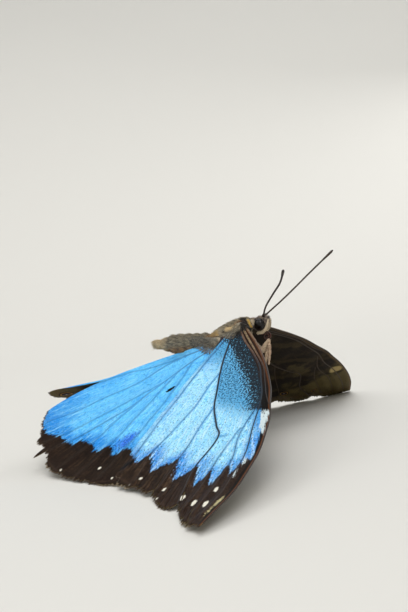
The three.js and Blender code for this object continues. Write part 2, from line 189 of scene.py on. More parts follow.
EYE_TURN = {"pitch": -14, "yaw": 12}
ABDOMEN_FRONT, ABDOMEN_BACK, SEGMENTS = -5.25, -18.8, 7
TAIL_END, BODY_LENGTH = -20.5, 31
LEGS = {
    # root, end of the hip, knee, ankle, heel and claw
    "midleg": (
        (1.4, 1.2, 21.6), (2, 2.6, 20), (4.6, 7, 15.4), (2.6, 9.4, 6.6), (1.6, 10.2, 0.5), (2.6, 12.2, 0.22),
    ),
    "hindleg": (
        (-1.6, 1.2, 21.2), (-2.4, 2.6, 19.6), (-6.4, 6.6, 15), (-7.2, 9.2, 6.4), (-8.2, 10.2, 0.5),
        (-9.6, 12, 0.22),
    ),
}
FORELEGS = {
    "right": (
        (4.2, 1, 22.6), (5.3, 2.1, 21), (6.7, 2.9, 20.7), (8.5, 3.1, 22.6), (8.45, 3.2, 20.4),
        (7.9, 3.2, 17.4),
    ),
    "left": (
        (4.2, 1, 22.6), (5.2, 2, 21), (5.9, 2.6, 20), (6.9, 2.8, 21.4), (6.6, 2.9, 19.4), (6, 2.9, 16.8),
    ),
}
PALP = ((5.9, 1.15, 24.4), (6.9, 1.4, 24.5), (7.75, 1.55, 25.0), (8.3, 1.5, 25.8), (8.65, 1.25, 27.0))
ANTENNAE = {
    "right": (
        (7.6, -0.85, 28.1), (8.9, -3.6, 30.2), (11.7, -9, 32.8), (14.6, -15.8, 35.1), (16.7, -23.4, 37.4),
    ),
    "left": ((7.7, 0.85, 28.1), (12.4, 5, 31.8), (17.9, 10.4, 36.6), (23.2, 15.4, 41.1)),
}
COIL = {"x": 7.7, "z": 23.45, "start": 1.05, "end": 0.25, "turns": 1.75}
FLOOR_GAP = 0.02

# Steps of a blade's outline and rings from its centre, points along a vein, and hairs.
COSTA_STEPS, MARGIN_STEPS, INNER_STEPS, RINGS, RIB_STEPS = 90, 240, 70, 104, 90
FRINGE_SCALES, ROOT_HAIRS, PALP_HAIRS = 2400, 3000, 1500
LEG_HAIRS = {"foreleg": 2600, "midleg": 2400, "hindleg": 2400}

BODY_STREAKS = (
    # mark, strength, line on the flanks from x, z to x, z, and width
    ("pale", 1, (4.0, 27.5), (4.6, 25.95), 0.34), ("pale", 1, (4.65, 28.3), (5.25, 26.7), 0.6),
    ("pale", 1, (4.8, 25.0), (5.2, 23.4), 0.6), ("pale", 1, (-1.0, 26.0), (1.3, 26.05), 0.5),
    ("pale", 0.5, (-1.2, 25.1), (1.8, 25.1), 1.0), ("pale", 0.45, (-4.6, 25.3), (-2.2, 25.6), 1.0),
    ("tawny", 1, (4.0, 27.5), (4.6, 25.95), 0.34), ("tawny", 0.85, (1.4, 26.7), (3.0, 27.3), 0.8),
    ("tawny", 0.35, (-0.6, 26.0), (1.6, 26.1), 0.9), ("tawny", 0.8, (-5.4, 24.6), (-3.6, 25.0), 1.0),
    ("dusk", 1, (2.8, 28.0), (3.75, 26.3), 0.8), ("dusk", 1, (3.5, 25.9), (4.85, 24.9), 0.75),
    ("dusk", 1, (2.6, 26.7), (3.8, 25.5), 0.6), ("dusk", 1, (5.55, 27.6), (5.55, 25.0), 0.5),
    ("dusk", 0.85, (-1.6, 25.6), (-1.3, 25.6), 0.45),
)

# What each shader node is for: its type, settings, inputs in order and output.
NODES = {
    "mark": ("ShaderNodeAttribute", {}, (), "Fac"),
    "track": ("ShaderNodeAttribute", {}, (), "Vector"),
    "place": ("ShaderNodeTexCoord", {}, (), "Object"),
    "noise": ("ShaderNodeTexNoise", {}, ("Vector", "Scale", "Detail", "Roughness"), "Fac"),
    "cells": ("ShaderNodeTexVoronoi", {}, ("Vector", "Scale"), "Distance"),
    "ramp": ("ShaderNodeMapRange", {"interpolation_type": "SMOOTHSTEP"}, range(5), 0),
    "sum": ("ShaderNodeMath", {"operation": "ADD"}, range(2), 0),
    "product": ("ShaderNodeMath", {"operation": "MULTIPLY"}, range(2), 0),
    "scaled sum": ("ShaderNodeMath", {"operation": "MULTIPLY_ADD"}, range(3), 0),  # a * b + c
    "sine": ("ShaderNodeMath", {"operation": "SINE"}, range(1), 0),
    "layer": ("ShaderNodeMix", {"data_type": "RGBA"}, (0, 6, 7), 2),
    "bump": ("ShaderNodeBump", {}, ("Height", "Strength", "Distance"), 0),
    "surface": ("ShaderNodeBsdfPrincipled", {}, (), 0),
    "output": ("ShaderNodeOutputMaterial", {}, ("Surface",), None),
}


def linear(code):
    """An sRGB hex colour as the linear values that shaders take."""
    channels = (int(code[i:i + 2], 16) / 255 for i in (1, 3, 5))
    return tuple(c / 12.92 if c <= 0.04045 else ((c + 0.055) / 1.055) ** 2.4 for c in channels)


def tint(code):
    """An sRGB hex colour as a shader's four linear channels."""
    return (*linear(code), 1)


class WingSettings(bpy.types.PropertyGroup):
    """Sizes and colours of the wings."""
    thickness: bpy.props.FloatProperty(
        name="Blade thickness", description="Thickness of the membrane with its scales",
        default=0.00018, min=0.00005, max=0.0005, unit="LENGTH", precision=5)
    fringe: bpy.props.FloatProperty(
        name="Fringe length", description="Length of the scales that stand out from the worn margin",
        default=0.0005, min=0, max=0.002, unit="LENGTH", precision=5)
    # the forewing's blue is painted paler than the hindwing's: its own blue with painted light
    fore_lit_blue: bpy.props.FloatVectorProperty(
        name="Forewing blue", description="Palest blue in the middle of the forewing",
        default=linear("#A8E6FF"), size=3, subtype="COLOR", min=0, max=1)
    hind_blue: bpy.props.FloatVectorProperty(
        name="Hindwing blue", description="Sky blue of the hindwing",
        default=linear("#6CCCFF"), size=3, subtype="COLOR", min=0, max=1)
    border: bpy.props.FloatVectorProperty(
        name="Border", description="Brown-black of the wing border",
        default=linear("#261A13"), size=3, subtype="COLOR", min=0, max=1)


class CoatSettings(bpy.types.PropertyGroup):
    """Lengths and colours of the hair."""
    depth: bpy.props.FloatProperty(
        name="Coat depth", description="How far the skin lies inside the outer shape of the hair",
        default=0.00034, min=0, max=0.001, unit="LENGTH", precision=5)
    fullness: bpy.props.FloatProperty(
        name="Fullness", description="Locks of hair, as a share of the full coat",
        default=1.0, min=0.05, max=1.5, subtype="FACTOR")
    hair: bpy.props.FloatVectorProperty(
        name="Hair", description="Grey-brown of the back",
        default=linear("#968D73"), size=3, subtype="COLOR", min=0, max=1)


class StageSettings(bpy.types.PropertyGroup):
    """Floor, light and camera."""
    floor: bpy.props.FloatVectorProperty(
        name="Floor", description="Colour of the paper floor",
        default=linear("#DCDAD4"), size=3, subtype="COLOR", min=0, max=1)
    light: bpy.props.FloatProperty(
        name="Light", description="Strength of the studio lamps, as a share of the usual",
        default=1.0, min=0, max=4, subtype="FACTOR")
    lens: bpy.props.FloatProperty(
        name="Focal length", description="Focal length of the camera on a 36 mm frame",
        default=50.74, min=10, max=200)


# ---------- small helpers ----------
def placed(points):
    """Points in the animal's own mm, as metres in the frame."""
    return np.asarray(points, float) * MM + HOME


def own(points):
    """Points in the frame, as the animal's own mm."""
    return (np.asarray(points, float) - HOME) / MM


def unit(vectors):
    """The same directions, one long."""
    return vectors / np.maximum(np.linalg.norm(vectors, axis=-1, keepdims=True), 1e-12)


def laid(ways, up):
    """Directions turned to lie along the surface that this is up from."""
    return unit(ways - up * (ways * up).sum(1, keepdims=True))


def smooth(value, start, end):
    """0 before the start and 1 past the end, with an even curve between them."""
    t = np.clip((np.asarray(value, float) - start) / (end - start), 0, 1)
    return t * t * (3 - 2 * t)


def started(name, primitive, **settings):
    """Add a primitive with nothing else selected, and name it."""
    bpy.ops.object.select_all(action="DESELECT")
    primitive(**settings)
    piece = bpy.context.object
    piece.name = piece.data.name = name
    return piece


def edited(step, **settings):
    """Run one edit-mode operator on the whole of the active mesh."""
    bpy.ops.object.mode_set(mode="EDIT")
    bpy.ops.mesh.select_all(action="SELECT")
    step(**settings)
    bpy.ops.object.mode_set(mode="OBJECT")


def modified(piece, name, kind, **settings):
    """Give the active piece a modifier and apply it."""
    modifier = piece.modifiers.new(name, kind)
    for key, value in settings.items():
        setattr(modifier, key, value)
    bpy.ops.object.modifier_apply(modifier=modifier.name)


def rows(items, key="vector"):
    """The vector that each of these items holds, in rows."""
    flat = np.empty(len(items) * 3)
    items.foreach_get(key, flat)
    return flat.reshape(-1, 3)


def coordinates(mesh):
    """The mesh's vertices in rows, in metres."""
    return rows(mesh.vertices, "co")


def set_coordinates(mesh, points):
    """Move the mesh's vertices to these rows."""
    mesh.vertices.foreach_set("co", np.asarray(points, float).ravel())
    mesh.update()


def on_floor(mesh):
    """Press flat what would reach through the floor."""
    points = coordinates(mesh)
    points[:, 2] = np.maximum(points[:, 2], FLOOR_GAP * MM)
    set_coordinates(mesh, points)


def mark(mesh, **marks):
    """Store a number or a vector for each vertex under each name."""
    for name, values in marks.items():
        values = np.asarray(values, float)
        kind, key = ("FLOAT", "value") if values.ndim == 1 else ("FLOAT_VECTOR", "vector")
        layer = mesh.attributes.get(name) or mesh.attributes.new(name, kind, "POINT")
        layer.data.foreach_set(key, values.ravel())


def fitted(piece, slot, material, *nodes):
    """Give a finished piece its material and tie it to the frame."""
    if material is not None:
        piece.data.materials.clear()
        piece.data.materials.append(material)
    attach(piece, "root")
    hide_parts(*nodes)
    piece.select_set(False)


def bezier(corners, steps=400):
    """Points of a Bezier curve from its four corners."""
    t = np.linspace(0, 1, steps + 1)[:, None]
    a, b, c, d = np.array(corners, float)
    return (1 - t) ** 3 * a + 3 * (1 - t) ** 2 * t * b + 3 * (1 - t) * t ** 2 * c + t ** 3 * d


def spread(path, places):
    """Points of a path at shares of its length."""
    path = np.asarray(path, float)
    length = np.concatenate(([0], np.cumsum(np.linalg.norm(np.diff(path, axis=0), axis=1))))
    at = np.asarray(places) * length[-1]
    return np.stack([np.interp(at, length, path[:, k]) for k in range(path.shape[1])], axis=1)


def stretched(values, count):
    """These values spread evenly over so many places."""
    return np.interp(np.linspace(0, 1, count), np.linspace(0, 1, len(values)), values)


def nearest(points, path):
    """The number of the path's point that is nearest to each point."""
    return np.argmin(np.linalg.norm(points[:, None] - path[None], axis=2), axis=1)


def flowing(points, count, tension=0.5):
    """A smooth path through points, evenly divided."""
    points = np.asarray(points, float)
    before = np.vstack((2 * points[0] - points[1], points[:-1]))
    after = np.vstack((points[1:], 2 * points[-1] - points[-2]))
    slope = (after - before) * tension
    rows = []
    for i in range(len(points) - 1):
        t = np.linspace(0, 1, 24, endpoint=i == len(points) - 2)[:, None]
        rows.append((2 * t ** 3 - 3 * t ** 2 + 1) * points[i] + (t ** 3 - 2 * t ** 2 + t) * slope[i]
                    + (3 * t ** 2 - 2 * t ** 3) * points[i + 1] + (t ** 3 - t ** 2) * slope[i + 1])
    return spread(np.vstack(rows), np.linspace(0, 1, count))


def tube(name, path, radii, sides, **marks):
    """A round limb along a path in mm: a curve given thickness and made a mesh.

    Marks are numbers along the path, stored for the vertices around each point.
    """
    path = np.asarray(path, float)
    radii = stretched(radii, len(path))
    # two more rings round off either end
    first, last = unit(path[0] - path[1]) * radii[0] * 0.9, unit(path[-1] - path[-2]) * radii[-1] * 0.9
    path = np.vstack((path[0] + first, path[0] + first * 0.6, path, path[-1] + last * 0.6, path[-1] + last))
    radii = np.concatenate(([radii[0] * 0.2, radii[0] * 0.75], radii, [radii[-1] * 0.75, radii[-1] * 0.2]))
    curve = started(name, bpy.ops.curve.primitive_nurbs_path_add).data
    curve.splines.clear()
    line = curve.splines.new("POLY")
    line.points.add(len(path) - 1)
    line.points.foreach_set("co", np.hstack((placed(path), np.ones((len(path), 1)))).ravel())
    line.points.foreach_set("radius", radii)
    curve.dimensions = "3D"
    curve.bevel_depth = MM
    curve.bevel_resolution = (sides - 4) // 2
    curve.use_fill_caps = True
    curve.twist_mode = "MINIMUM"
    bpy.ops.object.convert(target="MESH")
    piece = bpy.context.object
    piece.name = piece.data.name = name
    bpy.ops.object.shade_smooth()
    inner = np.clip(nearest(own(coordinates(piece.data)), path) - 2, 0, len(path) - 5)
    mark(piece.data, **{key: np.broadcast_to(values, len(path) - 4)[inner] for key, values in marks.items()})
    return piece


def joined(name, pieces):
    """Make one piece of several."""
    bpy.ops.object.select_all(action="DESELECT")
    for piece in pieces:
        piece.select_set(True)
    whole = bpy.context.view_layer.objects.active = pieces[0]
    bpy.ops.object.join()
    whole.name = whole.data.name = name
    return whole


# ---------- wing shape ----------
def wing_point(side, wing, u, v):
    """Where a point of the flat wing lies on the drooping one, in the animal's own mm."""
    sheet = SHEETS[side]
    sweep, droop, pitch = (math.radians(a) for a in (sheet["sweep"][wing["key"]], sheet["droop"], WING_PITCH))
    out = wing["scale"] * (u * math.cos(sweep) + v * math.sin(sweep))
    along = wing["scale"] * (v * math.cos(sweep) - u * math.sin(sweep)) + wing["hinge"]
    p, q, curl = out / SHEET_REACH, along / SHEET_REACH, sheet["curl"]
    over = (curl["out2"] * p * p + curl["cross"] * p * q + curl["along2"] * q * q + curl["out3"] * p ** 3
            + curl["out2along"] * p * p * q + SHEET_TWIST * along * np.clip(out / 10, 0, 1) + wing["lift"])
    y = HINGE_Y + out * math.cos(droop) + over * math.sin(droop)
    up = HINGE_Z - out * math.sin(droop) + over * math.cos(droop)
    x = along * math.cos(pitch) - up * math.sin(pitch)
    z = along * math.sin(pitch) + up * math.cos(pitch) + THORAX_HEIGHT
    if wing["key"] == "hind":
        # the inner part folds down beside the body, which leaves it less room in front than behind
        least = 2.75 + (0.75 - 2.75) * smooth(-x, 8, 13)
        folded = least + 0.5 * np.logaddexp(0, (y - least) / 0.5)
        z = z - sheet["tuck"] * (folded - y)
        y = folded
    return np.stack((x, SIDES[side] * y, z), axis=-1)


def wing_up(side, wing, u, v, step=0.4):
    """The wing's upward normal."""
    along_u = wing_point(side, wing, u + step, v) - wing_point(side, wing, u - step, v)
    along_v = wing_point(side, wing, u, v + step) - wing_point(side, wing, u, v - step)
    return unit(np.cross(along_v, along_u) * SIDES[side])


def margin_relief(wing, place):
    """How far the worn outer margin stands out, in mm, at places along it from 0 to 1."""
    relief = np.interp(place, *np.array(wing["wear"]).T)
    relief += 0.3 * np.sin(place * 151) * np.sin(place * 67 + 1)
    relief += 0.2 * np.sin(place * 331 + 2 * np.sin(place * 90))
    return relief * np.clip(np.minimum(12 * place, 12 * (1 - place)), 0, 1)


def wing_outline(wing, margin_steps=MARGIN_STEPS):
    """The closed outline of the flat wing, plain and worn, and each point's place on it.

    The place is 0 to 1 along the outer margin, -1 before it and 2 after it.
    """
    front = spread(bezier(wing["costa"]), np.arange(COSTA_STEPS) / COSTA_STEPS)
    margin = np.vstack([bezier(part) for part in wing["margins"]])
    place = np.arange(margin_steps) / margin_steps
    along = spread(margin, np.minimum(1, place + 0.01)) - spread(margin, np.maximum(0, place - 0.01))
    out = unit(np.stack((-along[:, 1], along[:, 0]), axis=1))
    edge = spread(margin, place)
    back = spread(bezier(wing["inner"]), np.linspace(0, 1, INNER_STEPS))
    plain = np.vstack((front, edge, back, front[:1]))
    worn = np.vstack((front, edge + out * margin_relief(wing, place)[:, None], back, front[:1]))
    places = np.concatenate((np.full(COSTA_STEPS, -1), place, np.full(INNER_STEPS + 1, 2)))
    return plain, worn, places


def to_path(points, path):
    """Distance from points to a path on the flat wing."""
    least = np.full(len(points), 1e9)
    for a, b in zip(path, path[1:]):
        line = b - a
        t = np.clip(((points - a) @ line) / max(line @ line, 1e-9), 0, 1)
        least = np.minimum(least, np.linalg.norm(points - a - t[:, None] * line, axis=1))
    return least


def inside_depth(points, corners):
    """Distance to a polygon's sides, positive inside it."""
    corners = np.asarray(corners, float)
    ring = np.vstack((corners, corners[:1]))
    inside = np.zeros(len(points), bool)
    for (ax, ay), (bx, by) in zip(ring, ring[1:]):
        crosses = (ay > points[:, 1]) != (by > points[:, 1])
        inside ^= crosses & (points[:, 0] < (bx - ax) * (points[:, 1] - ay) / (by - ay + 1e-12) + ax)
    return np.where(inside, 1, -1) * to_path(points, ring)


def oval_depth(points, ovals):
    """Depth inside the nearest of some ovals, in mm, and below 0 outside them."""
    depth = np.full(len(points), -9.0)
    for u, v, length, width, turn in ovals:
        a = math.radians(turn)
        du, dv = points[:, 0] - u, points[:, 1] - v
        share = np.hypot((du * math.cos(a) + dv * math.sin(a)) / length,
                         (dv * math.cos(a) - du * math.sin(a)) / width)
        depth = np.maximum(depth, (1 - share) * min(length, width))
    return depth


def wing_veins(wing):
    """The wing's veins with their paths drawn out smooth."""
    return [(name, start, end, tan, flowing(path, 60)) for name, start, end, tan, path in wing["veins"]]


def vein_distance(wing, flat):
    """How far points of the flat wing are from the nearest vein."""
    return np.min([to_path(flat, path[::3]) for *_, path in wing_veins(wing)], axis=0)


def wing_surface(side, wing, flat):
    """The blade's middle surface, rippled: high along each vein and hollow between veins."""
    u, v = flat.T
    from_root = np.hypot(u, v)
    ripple = 0.26 * np.exp(-(vein_distance(wing, flat) / 1.1) ** 2) * smooth(from_root, 3, 12)
    ripple += 0.1 * np.sin(0.5 * u + 0.23 * v) * np.sin(0.37 * v - 0.16 * u) * smooth(from_root, 8, 24)
    return wing_point(side, wing, u, v) + wing_up(side, wing, u, v) * (ripple - 0.1)[:, None]


def blade_up(side, wing):
    """The upward normal at the middle of a blade."""
    return wing_up(side, wing, wing["centre"][0] + 20, wing["centre"][1])


def wing_marks(wing, flat):
    """The numbers that the wing's pattern is drawn from, for points of the flat wing."""
    centre = np.array(wing["centre"])
    angles = np.radians([angle for angle, _ in wing["blue"]])
    reach = np.array([reach for _, reach in wing["blue"]])
    field = centre + reach[:, None] * np.stack((np.cos(angles), np.sin(angles)), axis=1)
    blue = inside_depth(flat, field)
    costa, inner = (to_path(flat, bezier(wing[edge], 40)) for edge in ("costa", "inner"))
    u, v = flat.T
    root = np.hypot(u, v)
    near_border = 1 - smooth(blue, 0.3, 5)
    if wing["key"] == "fore":
        # the cell lies between the stem and the radius: across is 0 at the one and 1 at the other
        stem = np.interp(u, (3.7, 9.1, 14.6, 19.8, 25.2, 34), (-0.2, 1.8, 4.2, 7.1, 10.2, 18))
        ridge = np.interp(u, (1.5, 4.8, 9, 13.1, 17, 20.8, 24.7), (1.4, 4.6, 9.7, 14, 16.9, 19.7, 22.1))
        across = (v - stem) / np.maximum(ridge - stem, 1)
        cell = smooth(across, -0.02, 0.06) * (1 - smooth(u - 3 * across, 17, 30))
        # brown scales cloud the cell from the radius back, less and less towards its end
        clear = np.interp(u, (3, 7.2, 12.2, 16.9, 21.5, 25.5), (0, 0.34, 0.62, 0.78, 0.87, 0.95))
        dusk = smooth(across, clear - 0.6, clear + 0.12) * (1 - smooth(u, 26, 27))
        dusk = np.maximum(dusk, 1 - smooth(root, 2.5, 8))
        deep = np.maximum(0.8 * near_border * smooth(u, 18, 30), 0.3 * (1 - smooth(inner, 1, 9)))
        cell = np.maximum(cell, 0.75 * (1 - smooth(root, 6, 17)))
        speckle = np.maximum.reduce((cell, 0.3 + 0.3 * near_border * smooth(u, 18, 30),
                                     0.55 * (1 - smooth(root, 4, 14))))
        strip = costa - (1.9 - 0.9 * smooth(u, 27, 33))
        front = 1 - smooth(u, 15, 21)
    else:
        cell = front = np.zeros(len(flat))
        dusk = 0.8 * (1 - smooth(root, 2, 5)) + 0.3 * (1 - smooth(costa, 2, 6))
        deep = (0.2 + 0.7 * (1 - smooth(blue, 0.5, 5)) + 0.6 * smooth(-v, 34, 48)
                + 0.1 * (1 - smooth(inner, 0, 4)))
        speckle = 0.16 + 0.15 * (1 - smooth(root, 4, 14)) + 0.3 * (1 - smooth(blue, 0, 5))
        strip = costa - 0.6
    bar = inside_depth(flat, wing["bar"]) if wing["bar"] else np.full(len(flat), -9.0)
    bruise = oval_depth(flat, wing["bruise"])
    cu, cv, size = wing["cream"]
    return {
        "blue": blue, "costa": costa, "strip": strip, "front": front, "cell": cell, "bruise": bruise,
        "vein": vein_distance(wing, flat),
        "margin": to_path(flat, np.vstack([bezier(part, 40) for part in wing["margins"]])),
        "bar": np.maximum(bar, oval_depth(flat, wing["flecks"])),
        "spot": oval_depth(flat, wing["spots"]), "wisp": oval_depth(flat, wing["wisps"]),
        "scar": oval_depth(flat, wing["scars_and_shadows"]), "patch": oval_depth(flat, wing["patch"]),
        "dusk": np.clip(dusk, 0, 1), "deep": np.clip(deep, 0, 1),
        "speckle": np.clip(speckle + 0.4 * smooth(bruise, -1, 1), 0, 1),
        "eyespot": np.min([np.hypot(u - eu, v - ev) / radius for eu, ev, radius in wing["eyespots"]], axis=0),
        "cream": np.hypot(u - cu, v - cv) / size,
        "tip": smooth(root, wing["tail"], wing["tail"] + 26),
    }


# ---------- hair ----------
def locks(name, roots, up, lie, length, width, lift, droop, seats, marks):
    """Tapered locks of hair or scales, each rooted on the skin, joined in one mesh.

    Seats are the roots' places on the skin's unwrap, which each lock is painted from.
    """
    count = len(roots)
    side = unit(np.cross(lie, up))
    way = unit(lie * np.cos(lift)[:, None] + up * np.sin(lift)[:, None])
    top = unit(np.cross(side, way))
    # three corners just under the skin, three slimmer ones half way and one at the tip
    base = np.stack((-side * 0.5, top * 0.34, side * 0.5), axis=1) * width[:, None, None]
    middle = roots + way * (length * 0.5)[:, None] - up * (length * droop * 0.18)[:, None]
    end = roots + way * length[:, None] - up * (length * droop)[:, None]
    points = np.concatenate(
        (base + (roots - up * 0.06)[:, None], base * 0.8 + middle[:, None], end[:, None]), axis=1)
    points[:, :, 2] = np.maximum(points[:, :, 2], FLOOR_GAP)
    shape = np.array(((0, 2, 1), (0, 1, 4), (0, 4, 3), (1, 2, 5), (1, 5, 4), (2, 0, 3), (2, 3, 5),
                      (3, 4, 6), (4, 5, 6), (5, 3, 6)))
    faces = (shape[None] + 7 * np.arange(count)[:, None, None]).reshape(-1, 3)
    mesh = bpy.data.meshes.new(name)
    mesh.vertices.add(count * 7)
    mesh.vertices.foreach_set("co", placed(points.reshape(-1, 3)).ravel())
    mesh.loops.add(faces.size)
    mesh.loops.foreach_set("vertex_index", faces.ravel())
    mesh.polygons.add(len(faces))
    mesh.polygons.foreach_set("loop_start", np.arange(len(faces)) * 3)
    mesh.update(calc_edges=True)
    patch = np.array(((-1, -1), (0, -1), (1, -1), (-1, 0.2), (0, 0.2), (1, 0.2), (0, 1))) * 0.0015
    corners = (np.clip(seats, 0.002, 0.998)[:, None] + patch[None]).reshape(-1, 2)[faces.ravel()]
    mesh.uv_layers.new(name="OFBake").data.foreach_set("uv", corners.ravel())
    mark(mesh, tip=np.tile((0, 0, 0, 0.5, 0.5, 0.5, 1), count),
         **{key: np.repeat(value, 7) for key, value in marks.items()})
    mesh.polygons.foreach_set("use_smooth", np.ones(len(faces), bool))
    piece = bpy.data.objects.new(name, mesh)
    bpy.context.collection.objects.link(piece)
    return piece


def scatter(mesh, count, chance, rng):
    """Random points of a mesh with their normals, in the animal's own mm, as likely as chance says."""
    mesh.calc_loop_triangles()
    corner = np.empty(len(mesh.loop_triangles) * 3, np.int64)
    mesh.loop_triangles.foreach_get("vertices", corner)
    corner = corner.reshape(-1, 3)
    points, normals = own(coordinates(mesh)), rows(mesh.vertex_normals)
    a, b, c = (points[corner[:, k]] for k in range(3))
    area = np.linalg.norm(np.cross(b - a, c - a), axis=1) / 2
    weight = area * chance((a + b + c) / 3)
    pick = rng.choice(len(area), count, p=weight / weight.sum())
    r, s = rng.random(count), rng.random(count)
    flip = r + s > 1
    r[flip], s[flip] = 1 - r[flip], 1 - s[flip]
    share = np.stack((1 - r - s, r, s), axis=1)[:, :, None]
    return (points[corner[pick]] * share).sum(1), unit((normals[corner[pick]] * share).sum(1))


def streak(points, start, end, width):
    """1 along a line on the flanks, from (x, z) to (x, z), fading to 0 at its width on either side."""
    away = to_path(points[:, [0, 2]], np.array((start, end), float))
    return (1 - smooth(away, 0.4 * width, width)) * smooth(np.abs(points[:, 1]), 0.3, 0.8)


def mottled(points):
    """Uneven light and dark in patches of half a millimetre, about -1 to 1."""
    x, y, z = points.T
    return (np.sin(6.1 * x + 2.3 * z) * np.sin(5.3 * z - 2.9 * x + 1.7 * y)
            + 0.6 * np.sin(11 * x + 7 * y) * np.sin(9 * z))


def seated(along, turn):
    """Places on a skin's unwrap: a share of its length and a turn about it."""
    return np.stack((along, turn / (2 * np.pi) + 0.5), axis=1)


def body_marks(points, rng=None):
    """Pale, tawny and dusky places of the body, the same for the skin and the hair over it."""
    x, y, z = points.T
    low = np.interp(-x, (-9, -5, 0, 5, 19), (27, 26.2, 24.1, 23.6, 24.3)) - z
    behind, tail, head = smooth(-x, 4.6, 5.6), smooth(-x, 15.2, 16.8), smooth(x, 5.2, 6)
    rings = np.abs(np.cos(np.pi * (x - ABDOMEN_FRONT) / (ABDOMEN_BACK - ABDOMEN_FRONT) * SEGMENTS)) ** 8
    marks = {
        "pale": 0.6 * tail,
        "tawny": np.maximum(0.85 * behind * smooth(low, 0.2, 1.4) * (1 - tail), 0.3 * tail),
        "dusk": np.maximum.reduce((0.8 * head * smooth(low, 0.9, 2.2), 0.7 * head * smooth(x, 8.2, 9.0),
                                   0.12 * rings * behind)),
    }
    for name, strength, start, end, width in BODY_STREAKS:
        marks[name] = np.maximum(marks[name], strength * streak(points, start, end, width))
    pale, dusk = marks["pale"], marks["dusk"] * (1 - 0.9 * marks["pale"])
    mottle = mottled(points)
    dusk = dusk + 0.5 * smooth(mottle, 0.1, 1.1) * (1 - pale)
    pale = pale + 0.45 * smooth(-mottle, 0.1, 1.1) * (1 - dusk) * smooth(x, -6, -2)
    if rng is not None:
        dusk = dusk + rng.random(len(x)) ** 2 * 0.6 * (1 - pale)
        pale = pale + rng.random(len(x)) ** 3 * 0.5 * (1 - dusk)
    return {"pale": np.clip(pale, 0, 1), "tawny": np.clip(marks["tawny"], 0, 1), "dusk": np.clip(dusk, 0, 1)}


# ---------- materials ----------
def add(tree, kind, *values, **named):
    """Add a node of a kind from NODES, fill or link its inputs, and give back its output.

    A value is another node's output, a number, a hex colour or the name of a number that the
    mesh stores. Named values are settings of the node, or inputs by their names.
    """
    node_type, settings, sockets, output = NODES[kind]
    node = tree.nodes.new(node_type)
    inputs = dict(zip(sockets, values))
    for key, value in {**settings, **named}.items():
        if hasattr(node, key):
            setattr(node, key, value)
        else:
            inputs[key.replace("_", " ")] = value
    for key, value in inputs.items():
        if isinstance(value, str):
            value = tint(value) if value.startswith("#") else add(tree, "mark", attribute_name=value)
        if isinstance(value, bpy.types.NodeSocket):
            tree.links.new(value, node.inputs[key])
        else:
            node.inputs[key].default_value = value
    return node.outputs[output] if node.outputs else None


def new_material(name):
    """An empty material, and the way to put nodes in it."""
    material = bpy.data.materials.new(name)
    material.use_nodes = True
    material.node_tree.nodes.clear()
    return material, partial(add, material.node_tree)


def painted(put, ground, layers):
    """Lay colours over a ground, each through its mask."""
    for mask, colour in layers:
        ground = put("layer", mask, ground, colour)
    return ground


def surfaced(material, ground, layers=(), **surface):
    """Finish a material with one Principled surface, its constants set on the sockets."""
    put = partial(add, material.node_tree)
    put("output", put("surface", Base_Color=painted(put, ground, layers), **surface))
    return material


